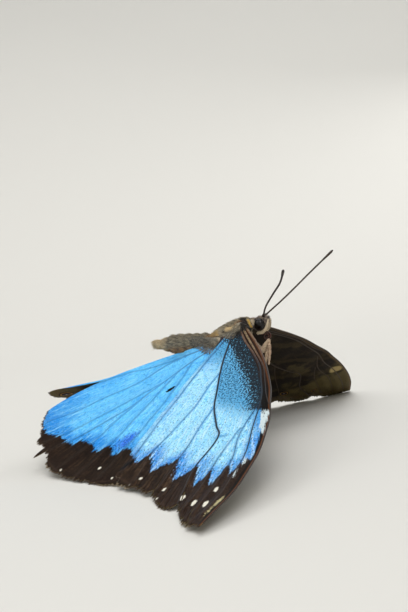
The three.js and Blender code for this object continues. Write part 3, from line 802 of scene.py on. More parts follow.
def wing_upper(name, wing, settings):
    """Overlapping wing scales: structural blue over brown, silky, with a fine streaked grain, painted shade
    in a band along each vein, and painted light in the forewing's paler blue.
    """
    material, put = new_material(name)
    fore = wing["key"] == "fore"
    # tracks are in mm, so a scale of 2.4 gives 2.4 clusters to the mm; rays run out from the root
    flat, rays = put("track", attribute_name="flat"), put("track", attribute_name="rays")
    # scales are 0.1 mm wide: drawn in clusters of 0.4 mm, the finest that shows
    scales, specks = put("noise", flat, 2.4, 3, 0.65), put("noise", flat, 2.6, 1.5, 0.6)
    coarse, clouds = put("noise", flat, 0.75, 3, 0.65), put("noise", flat, 0.13, 3, 0.55)
    streaks, brushed = put("noise", rays, 1, 3, 0.62), put("noise", rays, 2.7, 3, 0.7)
    ragged = put("sum", "blue", put("scaled sum", streaks, 3.4, put("scaled sum", scales, 2, -2.7)))
    in_blue = put("ramp", ragged, -0.25, 0.25)
    deep = put("sum", "deep", put("scaled sum", clouds, 1, put("scaled sum", coarse, 0.7, -0.85)))
    # the forewing's ground and shades are paler than the hindwing's: painted light where it tilts to the lamp
    ground = settings.fore_lit_blue if fore else settings.hind_blue
    # depths, patches and pale streaks, then dark scales and the dark and pale of the brushing
    shades = (("#2482E2", "#56BEF6", "#D2F2FF", "#4A9CE6", "#58B0EC", "#DCF8FF") if fore else
              ("#2086DC", "#2E9AEC", "#9CE2FF", "#3088DC", "#3090E2", "#A0E4FF"))
    silk = painted(put, (*ground, 1), (
        (put("ramp", deep, 0.05, 1, 0, 0.95), shades[0]),
        (put("ramp", coarse, 0.5, 0.66, 0, 0.6), shades[1]),
        (put("ramp", streaks, 0.5, 0.68, 0, 0.65), shades[2]),
        (put("ramp", scales, 0.5, 0.36, 0, 0.6), shades[3]),
        (put("ramp", brushed, 0.52, 0.66, 0, 0.5), shades[4]),
        (put("ramp", brushed, 0.46, 0.34, 0, 0.65), shades[5]),
        (put("ramp", put("scaled sum", coarse, 3, "bruise"), 1.2, 3.4, 0, 0.75), "#245CE4"),
        (put("ramp", "cell", 0, 0.75, 0, 0.9), "#4398CC"),
        (put("product", "cell", put("ramp", specks, 0.47, 0.4, 0, 0.5)), "#86CCEE"),
        # painted shade: a band of darker blue along each vein
        (put("ramp", "vein", 0.6, 0.1, 0, 0.5), "#2A72AE"),
    ))
    border = painted(put, (*settings.border, 1), (
        (put("ramp", streaks, 0.46, 0.68, 0, 0.8), "#55412F"),
        (put("ramp", coarse, 0.5, 0.62, 0, 0.75), "#120C09"),
        (put("ramp", brushed, 0.5, 0.7, 0, 0.3), "#5E4A3C"),
        (put("ramp", clouds, 0.45, 0.6, 0, 0.35), "#332820"),
        (put("ramp", "tip", 0.2, 0.9, 0, 0.5), "#36261E"),
        (put("ramp", "vein", 0.5, 0.1, 0, 0.4), "#463830"),
        (put("ramp", scales, 0.52, 0.38, 0, 0.7), "#0A0705"),
        (0 if fore else 0.4, "#17120F"),
    ))
    strip = painted(put, "#100D0B", (
        ("front", "#2C1D14"),
        (put("ramp", scales, 0.5, 0.38, 0, 0.5), "#0C0806"),
    ))
    dark_scales = put("ramp", put("scaled sum", "speckle", 0.17, specks), 0.67, 0.71)
    worn = put("sum", "dusk", put("scaled sum", specks, 2.4, put("scaled sum", scales, 0.6, -1.5)))
    along_costa = put("scaled sum", streaks, 1.2, "strip")
    broken_bar = put("scaled sum", streaks, 4.2, put("scaled sum", scales, 1.2, "bar"))
    return surfaced(
        material, border, (
            (in_blue, silk),
            (put("product", in_blue, put("product", dark_scales, 0.8)), "#0C2A3E"),
            (put("ramp", worn, 0.5, 0.68, 0, 0.94), "#1B1918"),
            (put("ramp", along_costa, 0.75, 0.35, 0, 0.97 if fore else 0.3), strip),
            (put("ramp", "costa", 0.45, 0.15, 0, 0.8), "#6A3F24"),
            (put("ramp", broken_bar, 2.6, 3.2), "#CFDDDF"),
            (put("ramp", put("scaled sum", scales, 0.6, "spot"), 0.24, 0.44), "#E6E2D2"),
            (put("ramp", put("scaled sum", scales, 1.4, "wisp"), 0.55, 0.95), "#B9AE82"),
            # torn marks, and on the forewing a painted shadow in the gap at its rear corner
            (put("ramp", put("scaled sum", specks, 0.8, "scar"), 0.3, 0.5), "#0A0B0D"),
            (put("ramp", "margin", 0.45, 0.1, 0, 0.4), "#43342B"),
        ),
        Roughness=0.55, Specular_IOR_Level=0.04, Metallic=put("product", in_blue, 0.22),
        Normal=put("bump", put("sum", scales, put("product", streaks, 0.8)), 0.55, 0.06 * MM))


def wing_under(name):
    """Underside scales: matt dark brown, darker still with painted shade, with olive bands, cream marks and
    ringed eyespots.
    """
    material, put = new_material(name)
    flat, rays = put("track", attribute_name="flat"), put("track", attribute_name="rays")
    # scales are 0.1 mm wide: drawn in clusters of 0.24 mm, the finest that shows
    scales, clouds = put("noise", flat, 4.2, 3, 0.6), put("noise", flat, 0.22, 3, 0.6)
    streaks = put("noise", rays, 1, 2, 0.6)
    wavy = put("scaled sum", clouds, 5, "margin")
    ring = put("scaled sum", scales, 0.3, "eyespot")
    far = put("scaled sum", clouds, 1.4, put("sum", "tip", -0.7))
    return surfaced(
        # the near-black ground is the underside's own brown darkened by painted shade
        material, "#1B130C", (
            (put("ramp", clouds, 0.46, 0.62, 0, 0.7), "#302716"),
            (put("ramp", streaks, 0.52, 0.74, 0, 0.4), "#3B2C1D"),
            (put("ramp", put("sine", put("product", wavy, 0.75)), 0.6, 0.95, 0, 0.4), "#4A3F27"),
            (put("ramp", far, 0.15, 0.6, 0, 0.75), "#665A34"),
            (put("ramp", put("scaled sum", clouds, 9, "patch"), 4.6, 6.4, 0, 0.4), "#6A5D3A"),
            (put("product", put("ramp", wavy, 6.4, 5.7), put("ramp", wavy, 4, 4.6, 0, 0.5)), "#5C4527"),
            (put("ramp", ring, 1.36, 1.24), "#110B08"),
            (put("ramp", ring, 1.12, 1.04), "#9A7434"),
            (put("ramp", ring, 0.92, 0.84), "#0C0807"),
            (put("product", put("ramp", ring, 0.66, 0.6), put("ramp", ring, 0.4, 0.46, 0, 0.5)), "#4A3046"),
            (put("ramp", ring, 0.36, 0.28), "#DAD4C2"),
            (put("ramp", put("scaled sum", scales, 0.8, "cream"), 1.35, 1, 0, 0.95), "#B7A26C"),
            (put("ramp", "costa", 0.8, 0.2, 0, 0.75), "#6E5A40"),
            (put("ramp", "vein", 0.4, 0.1, 0, 0.35), "#4C3B2A"),
            (put("ramp", scales, 0.52, 0.36, 0, 0.6), "#0B0705"),
        ),
        Roughness=0.75, Specular_IOR_Level=0.15, Normal=put("bump", scales, 0.5, 0.06 * MM))


def vein_chitin(name):
    """Hollow chitin veins: tan where thick at the root, dark blue-grey over the blue, brown in the border."""
    material, put = new_material(name)
    # rubbed in spots of 0.7 mm
    rough = put("noise", put("place"), 1.4 / MM, 3, 0.6)
    tan = put("product", "tan", put("ramp", "run", 0.7, 0.12))
    over_blue = put("ramp", put("scaled sum", rough, 8, "blue"), 5, 12)
    return surfaced(
        material, "#0D2230", (
            (put("product", over_blue, "scaled"), "#4C9CDC"),
            (put("ramp", "blue", 0.4, -0.4), "#2A1F19"),
            (put("ramp", put("scaled sum", rough, 0.5, tan), 0.35, 0.85), "#5F4334"),
            (put("ramp", put("scaled sum", rough, 1, tan), 0.95, 1.75), "#94805E"),
            (put("ramp", "above", 0.55, 0.45), "#33271B"),
            (put("ramp", rough, 0.46, 0.32, 0, 0.55), "#120D0A"),
        ),
        Roughness=0.5, Specular_IOR_Level=0.25, Normal=put("bump", rough, 0.5, 0.05 * MM))


def hair_fibre(name, base, root="#3E342D", roughness=0.78):
    """Insect hair: matt chitin fibres with pale, tawny and dusky markings, and painted shade that darkens
    each lock towards its root.
    """
    material, put = new_material(name)
    # fibres are too fine to show one by one: they lighten in tufts of 0.4 mm
    tufts = put("noise", put("place"), 2.6 / MM, 2, 0.6)
    return surfaced(
        material, base, (
            (put("ramp", tufts, 0.42, 0.7, 0, 0.35), "#A79C90"),
            (put("product", "tawny", 0.9), "#A06B3E"),
            (put("product", "pale", 0.95), "#E2D0B2"),
            (put("product", "pale", "tawny"), "#EBC462"),
            (put("product", "dusk", 0.96), "#150F0C"),
            # painted shade: each lock darkens towards its root, deep among the other locks
            (put("ramp", "tip", 0.5, 0, 0, 0.55), root),
        ),
        Roughness=roughness, Specular_IOR_Level=0.25, Sheen_Weight=0.15, Sheen_Roughness=0.5)


def body_skin(name, base):
    """Leathery body wall under the hair, with close-lying scales as a fine bump."""
    material, put = new_material(name)
    where = put("place")
    # scales are 0.1 mm wide: drawn at 0.2 mm, the finest that shows
    fine, patches = put("noise", where, 5.2 / MM, 3, 0.65), put("noise", where, 0.9 / MM, 3, 0.6)
    return surfaced(
        material, base, (
            (put("ramp", patches, 0.4, 0.65, 0, 0.6), "#5C5047"),
            (put("product", "tawny", 0.9), "#8A5830"),
            (put("product", "pale", 0.9), "#CDB896"),
            (put("product", "pale", "tawny"), "#C79F50"),
            (put("product", "dusk", 0.9), "#211812"),
            (put("ramp", fine, 0.5, 0.34, 0, 0.6), "#2C231E"),
        ),
        Roughness=0.7, Specular_IOR_Level=0.3, Normal=put("bump", fine, 0.7, 0.08 * MM))


def chitin(name, colours, roughness, per_mm=2.4):
    """Smooth or scaly chitin in two or three close browns, mottled so many times to the mm."""
    material, put = new_material(name)
    fine = put("noise", put("place"), per_mm / MM, 3, 0.6)
    ground, *rest = colours
    steps = ((0.44, 0.62), (0.6, 0.74))
    return surfaced(
        material, ground, [(put("ramp", fine, *step), colour) for step, colour in zip(steps, rest)],
        Roughness=roughness, Specular_IOR_Level=0.45, Normal=put("bump", fine, 0.6, 0.04 * MM))


def compound_eye(name):
    """Glossy facetted eye, nearly black with a warm brown depth and faint darker bands."""
    material, put = new_material(name)
    where = put("place")
    # facets are 0.03 mm across: drawn at 0.09 mm, the finest that shows
    facets, bands = put("cells", where, 11 / MM), put("noise", where, 0.7 / MM, 2, 0.5)
    return surfaced(
        material, "#0B0706", (
            (put("ramp", bands, 0.45, 0.65, 0, 0.8), "#1A0F0B"),
            (put("ramp", facets, 0.45, 0.75, 0, 0.7), "#0B0706"),
        ),
        Roughness=0.22, Specular_IOR_Level=0.28, Coat_Weight=0.07, Coat_Roughness=0.05,
        Normal=put("bump", facets, 0.25, 0.02 * MM, invert=True))


# ---------- pieces ----------
class BUTTERFLY_OT_skin(bpy.types.Operator):
    """Grow one skin over head, thorax and abdomen, inside them by the coat's depth"""
    bl_idname = "butterfly.skin"
    bl_label = "Body Skin"

    def execute(self, context):
        settings = context.scene.butterfly_coat
        parts = []
        for node in ("head", "thorax", "abdomen"):
            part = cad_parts[node].copy()
            part.data = part.data.copy()
            part.parent = None
            for key in [key for key in part.keys() if key.startswith("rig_")]:
                del part[key]
            context.collection.objects.link(part)
            parts.append(part)
        # neck, waist and the sockets' backs close the gaps, and tegulae cap the wing roots
        sides = SIDES.values()
        balls = (((5.1, 0, 26.65), (1.4, 1.25, 1.5)), ((-4.8, 0, 23.5), (1.4, 1.7, 1.9)),
                 *((np.array(EYE_CENTRE) * (1, side, 1), np.array(EYE_RADII) * 0.9) for side in sides),
                 *(((0.9, side * 2.55, 25.75), (2.3, 0.75, 0.8)) for side in sides))
        for centre, radii in balls:
            ball = started("ball", bpy.ops.mesh.primitive_uv_sphere_add, segments=32, ring_count=16, radius=1)
            size = Matrix.Diagonal((*(float(r) * MM for r in radii), 1))
            ball.data.transform(Matrix.Translation(Vector(placed(centre))) @ size)
            parts.append(ball)
        skin = joined("body_skin", parts)
        skin.data.materials.clear()
        skin.data.transform(Matrix.Scale(1 / MM, 4))
        edited(bpy.ops.mesh.remove_doubles, threshold=0.002)
        modified(skin, "One skin", "REMESH", mode="VOXEL", voxel_size=0.13)
        modified(skin, "Relax", "SMOOTH", factor=0.5, iterations=10)
        modified(skin, "Under the coat", "DISPLACE", strength=-settings.depth / MM, mid_level=0)
        skin.data.transform(Matrix.Scale(MM, 4))
        mesh = skin.data
        points, normals = own(coordinates(mesh)), rows(mesh.vertex_normals)
        x = points[:, 0]
        # the abdomen is 0.2 mm fuller before its tail, with a shallow groove between segments
        share = (x - ABDOMEN_FRONT) / (ABDOMEN_BACK - ABDOMEN_FRONT) * SEGMENTS
        groove = np.exp(-((share - np.round(share)) / 0.13) ** 2) * ((share > 0.4) & (share < SEGMENTS - 0.3))
        fuller = 0.2 * smooth(-x, 4.5, 6.5) - 0.2 * smooth(-x, 14.0, 18.6)
        points += normals * (fuller - groove * 0.03)[:, None]
        set_coordinates(mesh, placed(points))
        mark(mesh, **body_marks(points))
        bpy.ops.object.shade_smooth()
        wall = body_skin("Body wall with flat scales", "#4A4038")
        fitted(skin, "body_fur", wall, "head", "thorax", "abdomen")
        return {"FINISHED"}


class BUTTERFLY_OT_coat(bpy.types.Operator):
    """Comb hair over the skin, in locks that lie back along the body"""
    bl_idname = "butterfly.coat"
    bl_label = "Body Hair"

    def execute(self, context):
        settings = context.scene.butterfly_coat
        mesh = bpy.data.objects["body_skin"].data
        rosy = hair_fibre("Insect hair, rosy grey", "#85746E")
        grey = hair_fibre("Insect hair, grey-brown", (*settings.hair, 1))
        # name, locks, from x, to x, length, width, lift in degrees
        for name, count, back, front, length, width, lift in (
                ("coat_head", 8000, 4.9, 9.5, 0.6, 0.085, 30),
                ("coat_thorax", 14000, -5.0, 5.2, 1.3, 0.13, 20),
                ("coat_abdomen", 13000, -20, -4.7, 1.0, 0.12, 17)):
            rng = np.random.default_rng(len(name))

            def chance(points, back=back, front=front):
                """Even along this part of the body, and next to none on the eyes."""
                x = points[:, 0]
                return np.maximum((x > back) & (x < front) & (self.eye_share(points) > 1.12), 1e-9)

            roots, up = scatter(mesh, int(count * settings.fullness), chance, rng)
            length = np.full(len(roots), length)
            x, y, z = roots.T
            if name == "coat_head":
                forward = smooth(x, 7.2, 8.6)
                way = np.stack((-0.55 + 1.0 * forward, 0.25 * np.sign(y), 0.75 * forward + 0.15), axis=1)
                length *= 1 + 0.55 * smooth(z, 27.4, 28.4) + 0.25 * smooth(x, 8, 8.8)
                length *= 1 - 0.75 * (1 - smooth(self.eye_share(roots), 1.1, 1.8))
                length *= 1 - 0.4 * smooth(26.4 - z, 0, 1.5)
            elif name == "coat_thorax":
                way = np.stack((np.full(len(x), -1.0), 0.28 * np.sign(y) * smooth(np.abs(y), 0.5, 2.5),
                                -0.35 * smooth(26 - z, -1, 3)), axis=1)
                length *= (1 + 0.6 * smooth(-x, 1, 4.5) - 0.6 * smooth(x, 3.0, 4.4)
                           - 0.2 * smooth(23 - z, 0, 2))
            else:
                way = np.tile((-1.0, 0, 0.05), (len(x), 1))
                length *= (1.1 - 0.15 * (1 - smooth(-x, 5, 8)) + 0.2 * smooth(z, 24, 26)
                           + 0.2 * smooth(-x, 15.5, 18))
            lie = laid(way + rng.normal(0, 0.16, way.shape), up)
            length = length * rng.uniform(0.6, 1.15, len(roots))
            # the turn about the middle line of the body
            turn = np.arctan2(y, z - np.interp(x, (-19, -5, 5, 9), (24.3, 23.6, 26, 27)))
            piece = locks(
                name, roots, up, lie, length, width * rng.uniform(0.7, 1.2, len(roots)),
                np.radians(lift * rng.uniform(0.3, 1.5, len(roots))), rng.uniform(0.05, 0.32, len(roots)),
                seated((x - TAIL_END) / BODY_LENGTH, turn),
                body_marks(roots + lie * length[:, None] * 0.5, rng))
            fitted(piece, "body_fur", rosy if name == "coat_head" else grey, name.replace("coat_", ""))
        return {"FINISHED"}

    @staticmethod
    def eye_share(points):
        """Distance from the nearer eye's centre, 1 on its surface."""
        off = points * (1, 0, 1) + np.abs(points) * (0, 1, 0) - np.array(EYE_CENTRE)
        return np.linalg.norm(off / np.array(EYE_RADII), axis=1)


class BUTTERFLY_OT_eyes(bpy.types.Operator):
    """Set the two glossy compound eyes in the head"""
    bl_idname = "butterfly.eyes"
    bl_label = "Eyes"

    def execute(self, context):
        material = compound_eye("Compound eye")
        for side, sign in SIDES.items():
            eye = started(f"eye_{side}_facets", bpy.ops.mesh.primitive_uv_sphere_add,
                          segments=72, ring_count=48, radius=1)
            # a little squarer than an egg, as a real eye fills its socket
            points = coordinates(eye.data)
            points = np.sign(points) * np.abs(points) ** 0.94
            set_coordinates(eye.data, points / np.max(np.abs(points)))
            turn = (Matrix.Rotation(math.radians(sign * EYE_TURN["yaw"]), 4, "Z")
                    @ Matrix.Rotation(math.radians(EYE_TURN["pitch"]), 4, "Y"))
            size = Matrix.Diagonal((*(r * 1.06 * MM for r in EYE_RADII), 1))
            centre = Vector(placed(np.array(EYE_CENTRE) * (1, sign, 1)))
            eye.data.transform(Matrix.Translation(centre) @ turn @ size)
            bpy.ops.object.shade_smooth()
            fitted(eye, "eye", material, f"eye_{side}")
        return {"FINISHED"}


class BUTTERFLY_OT_mouthparts(bpy.types.Operator):
    """Bend the hairy palps up before the face and roll the tongue under them"""
    bl_idname = "butterfly.mouthparts"
    bl_label = "Palps and Tongue"

    def execute(self, context):
        cream = chitin("Cream palp scales", ("#CDB898", "#E4D4B6"), 0.75)
        fibre = hair_fibre("Insect hair, cream", "#E0D0B2", root="#A8926E")
        for side, sign in SIDES.items():
            path = flowing(np.array(PALP) * (1, sign, 1), 30)
            palp = tube(f"palp_{side}_core", path, (0.26, 0.32, 0.34, 0.3, 0.16), 12)
            fitted(palp, "palp", cream, f"palp_{side}")
            rng = np.random.default_rng(21 + sign)
            roots, up = scatter(palp.data, PALP_HAIRS, lambda points: np.ones(len(points)), rng)
            near = nearest(roots, path)
            lie = laid(np.gradient(path, axis=0)[near] / 0.2 + rng.normal(0, 0.2, (len(roots), 3)), up)
            front = smooth(up[:, 0], 0.45, 0.9)
            seats = seated(0.05 + 0.9 * near / len(path), np.arctan2(up[:, 1], up[:, 0]))
            marks = {"pale": 0.8 * (1 - front), "tawny": 0.25 * front, "dusk": front * rng.random(len(roots))}
            coat = locks(
                f"coat_palp_{side}", roots, up, lie, rng.uniform(0.2, 0.42, len(roots)) * (1 + 0.4 * front),
                rng.uniform(0.05, 0.08, len(roots)), np.radians(rng.uniform(8, 30, len(roots))),
                rng.uniform(0, 0.2, len(roots)), seats, marks)
            fitted(coat, "palp", fibre, f"palp_{side}")
        steps, neck = 150, 15
        turns = np.linspace(0, 1, steps)
        radius = COIL["start"] + (COIL["end"] - COIL["start"]) * turns
        angle = math.radians(150) - 2 * np.pi * COIL["turns"] * turns
        coil = np.stack((COIL["x"] + radius * np.cos(angle), 0.03 * np.sin(9 * turns),
                         COIL["z"] + radius * np.sin(angle)), axis=1)
        ribs = 0.155 - 0.04 * turns + 0.008 * np.cos(np.arange(steps) * np.pi)
        base = flowing(((6.9, 0, 25.6), (6.6, 0, 24.9), tuple(coil[0])), neck + 1, 0.4)[:-1]
        coil, ribs = np.vstack((base, coil)), np.concatenate((np.full(neck, 0.17), ribs))
        tongue = tube("proboscis_coil", coil, ribs, 12)
        maroon = chitin("Proboscis chitin, maroon", ("#3A1D18", "#5B2E22"), 0.35, 4)
        fitted(tongue, "horn", maroon, "proboscis")
        return {"FINISHED"}


class BUTTERFLY_OT_antennae(bpy.types.Operator):
    """Draw out the two long, finely ringed feelers with their slight clubs"""
    bl_idname = "butterfly.antennae"
    bl_label = "Antennae"

    def execute(self, context):
        material = chitin("Antenna chitin, dark brown", ("#241813", "#3A2A20", "#5A4634"), 0.5)
        steps = 240
        for side in SIDES:
            path = flowing(ANTENNAE[side], steps)
            t = np.linspace(0, 1, steps)
            radii = (0.2 + 0.1 * smooth(t, 0.82, 0.95) - 0.1 * smooth(t, 0.975, 1)
                     + 0.16 * (1 - smooth(t, 0, 0.035)))
            # a ring at every third point
            radii += 0.018 * np.cos(np.arange(steps) * np.pi * 2 / 3)
            piece = tube(f"antenna_{side}_shaft", path, radii, 10)
            fitted(piece, "horn", material, f"antenna_{side}")
        return {"FINISHED"}


class BUTTERFLY_OT_legs(bpy.types.Operator):
    """Shape six legs with their joints, spines, claws and short hair"""
    bl_idname = "butterfly.legs"
    bl_label = "Legs"

    def execute(self, context):
        cream = chitin("Leg chitin, cream and rosy brown", ("#C4A68A", "#DCC6A6", "#F0E2C6"), 0.5, 1.3)
        fibre = hair_fibre("Insect hair, leg", "#C09A8C", root="#B8977E")
        for side, sign in SIDES.items():
            for leg in ("foreleg", "midleg", "hindleg"):
                node = f"{leg}_{side}"
                points = np.array(FORELEGS[side] if leg == "foreleg" else LEGS[leg], float) * (1, sign, 1)
                if leg == "foreleg":
                    stretches = ((points[:3], (0.4, 0.46, 0.44)), (points[2:4], (0.42, 0.46, 0.4)),
                                 (points[3:], (0.42, 0.42, 0.36, 0.2)))
                else:
                    stretches = ((points[:2], (0.52, 0.56)), (points[1:3], (0.44, 0.52, 0.48, 0.38)),
                                 (points[2:4], (0.36, 0.33, 0.3, 0.34)),
                                 (points[3:], (0.3, 0.27, 0.26, 0.24, 0.2)))
                parts, paths = [], []
                for number, (stretch, radii) in enumerate(stretches):
                    path = flowing(stretch, 40, 0.3)
                    radii = stretched(radii, len(path))
                    if number == len(stretches) - 1:
                        # the foot narrows at its joints
                        radii = radii * (1 - 0.22 * np.abs(np.sin(np.linspace(0, 4 * np.pi, len(path)))) ** 8)
                    parts.append(tube(f"{node}_{number}", path, radii, 12))
                    paths.append(path)
                if leg != "foreleg":
                    tip, before = paths[-1][-1], paths[-1][-4]
                    ahead = unit((tip - before) * (1, 1, 0))
                    across = np.array((-ahead[1], ahead[0], 0))
                    # a pair of claws, spread and bent down
                    for hook in (-1, 1):
                        claw = np.array([tip + ahead * r + across * hook * 0.35 * r + (0, 0, h) for r, h in
                                         ((0, 0), (0.25, 0.12), (0.5, 0.02), (0.62, -0.12))])
                        parts.append(tube(f"{node}_claw", flowing(claw, 12), (0.09, 0.07, 0.025), 8))
                piece = joined(f"{node}_joints", parts)
                on_floor(piece.data)
                fitted(piece, "leg", cream, node)
                line = np.vstack(paths)
                rng = np.random.default_rng(31 + sign + len(leg))
                roots, up = scatter(piece.data, LEG_HAIRS[leg],
                                    lambda places: np.maximum(places[:, 2] > 0.3, 1e-9), rng)
                near = nearest(roots, line)
                lie = laid(unit(np.gradient(line, axis=0)[near]) + rng.normal(0, 0.15, (len(roots), 3)), up)
                share = near / len(line)
                knee = smooth(share, 0.55, 0.72)
                length = rng.uniform(0.16, 0.36, len(roots)) * (1.2 - 0.5 * share)
                # one hair in thirty is a stiff spine
                spine = rng.random(len(roots)) < 0.035
                length = np.where(spine, 0.7, length) * (1 if leg == "foreleg" else 0.75)
                seats = seated(0.02 + 0.96 * share, np.arctan2(up[:, 1], up[:, 2]))
                marks = {"pale": np.clip(1 - knee * 0.9, 0, 1), "tawny": 0.3 * knee,
                         "dusk": np.where(spine, 0.8, 0.18 * knee + 0.1)}
                coat = locks(f"coat_{node}", roots, up, lie, length, rng.uniform(0.045, 0.075, len(roots)),
                             np.radians(np.where(spine, 40, rng.uniform(6, 24, len(roots)))),
                             rng.uniform(0, 0.2, len(roots)), seats, marks)
                fitted(coat, "leg", fibre, node)
        return {"FINISHED"}


class BUTTERFLY_OT_blades(bpy.types.Operator):
    """Spread the four wing blades, with the numbers that their pattern is drawn from"""
    bl_idname = "butterfly.blades"
    bl_label = "Wing Blades"

    def execute(self, context):
        settings = context.scene.butterfly_wings
        for kind, wing in WINGS.items():
            upper = wing_upper(f"Wing scales, {kind} upper side", wing, settings)
            under = wing_under(f"Wing scales, {kind} underside")
            plain, worn, _ = wing_outline(wing)
            steps = len(plain) - 1
            centre = np.array(wing["centre"])
            for side in SIDES:
                blade = started(f"{kind}_{side}_blade", bpy.ops.mesh.primitive_grid_add,
                                x_subdivisions=steps, y_subdivisions=RINGS, size=1)
                mesh = blade.data
                grid = coordinates(mesh) + 0.5
                column = np.rint(grid[:, 0] * steps).astype(int)
                reach = grid[:, 1:2] ** 0.85
                # the wear is worked into the outer fifth, so that no column folds over the next
                flat = centre + reach * (plain[column] - centre)
                flat += smooth(reach, 0.8, 1) * (worn - plain)[column]
                mark(mesh, flat=np.pad(flat, ((0, 0), (0, 1))))
                set_coordinates(mesh, placed(wing_surface(side, wing, flat)))
                edited(bpy.ops.mesh.remove_doubles, threshold=2e-6)
                if rows(mesh.vertex_normals).mean(0) @ blade_up(side, wing) < 0:
                    edited(bpy.ops.mesh.flip_normals)
                flat = rows(mesh.attributes["flat"].data)[:, :2]
                # streaks fan out from behind the root: narrow across the rays and long along them
                turn = np.arctan2(flat[:, 1] - centre[1], flat[:, 0] - centre[0] + 4)
                rays = np.stack((turn * 55, np.hypot(*flat.T) * 0.13, np.zeros(len(flat))), axis=1)
                mark(mesh, **wing_marks(wing, flat), rays=rays)
                mesh.materials.append(upper)
                mesh.materials.append(under)
                modified(blade, "Membrane", "SOLIDIFY", thickness=settings.thickness, offset=0,
                         material_offset=1, material_offset_rim=1)
                on_floor(mesh)
                bpy.ops.object.shade_smooth()
                fitted(blade, kind, None, f"{kind}_{side}")
        return {"FINISHED"}


class BUTTERFLY_OT_veins(bpy.types.Operator):
    """Raise the veins as tapering ribs that stand out on both sides of each blade"""
    bl_idname = "butterfly.veins"
    bl_label = "Wing Veins"

    def execute(self, context):
        material = vein_chitin("Wing vein chitin")
        for kind, wing in WINGS.items():
            fore = wing["key"] == "fore"
            outline, _, _ = wing_outline(wing)
            costa = outline[:COSTA_STEPS] + (-0.02, 0.03)
            costal = ("costal edge", 0.28 if fore else 0.2, 0.1, 0.75, costa)
            steps = np.linspace(0, 1, RIB_STEPS)
            for side in SIDES:
                ribs = []
                for name, start, end, tan, path in (*wing_veins(wing), costal):
                    path = spread(path, steps)
                    if name != "costal edge":
                        # a vein ends where it comes to the margin
                        beyond = np.flatnonzero((inside_depth(path, outline) < 0.15) & (steps > 0.5))
                        path = spread(path[:beyond[0] if len(beyond) else RIB_STEPS], steps)
                    radii = (start + (end - start) * steps ** 0.7) * (1 if fore else 0.75)
                    ribs.append(tube(f"{name} {side}", wing_surface(side, wing, path), radii, 8,
                                     run=np.clip(np.linalg.norm(path, axis=1) / 40, 0, 1),
                                     blue=wing_marks(wing, path)["blue"], tan=tan,
                                     scaled=0 if name == "stem" and fore or tan > 0.5 else 0.8))
                piece = joined(f"{kind}_{side}_veins", ribs)
                on_floor(piece.data)
                facing = rows(piece.data.vertex_normals) @ blade_up(side, wing)
                mark(piece.data, above=smooth(facing, -0.1, 0.1))
                fitted(piece, kind, material, f"{kind}_{side}")
        return {"FINISHED"}


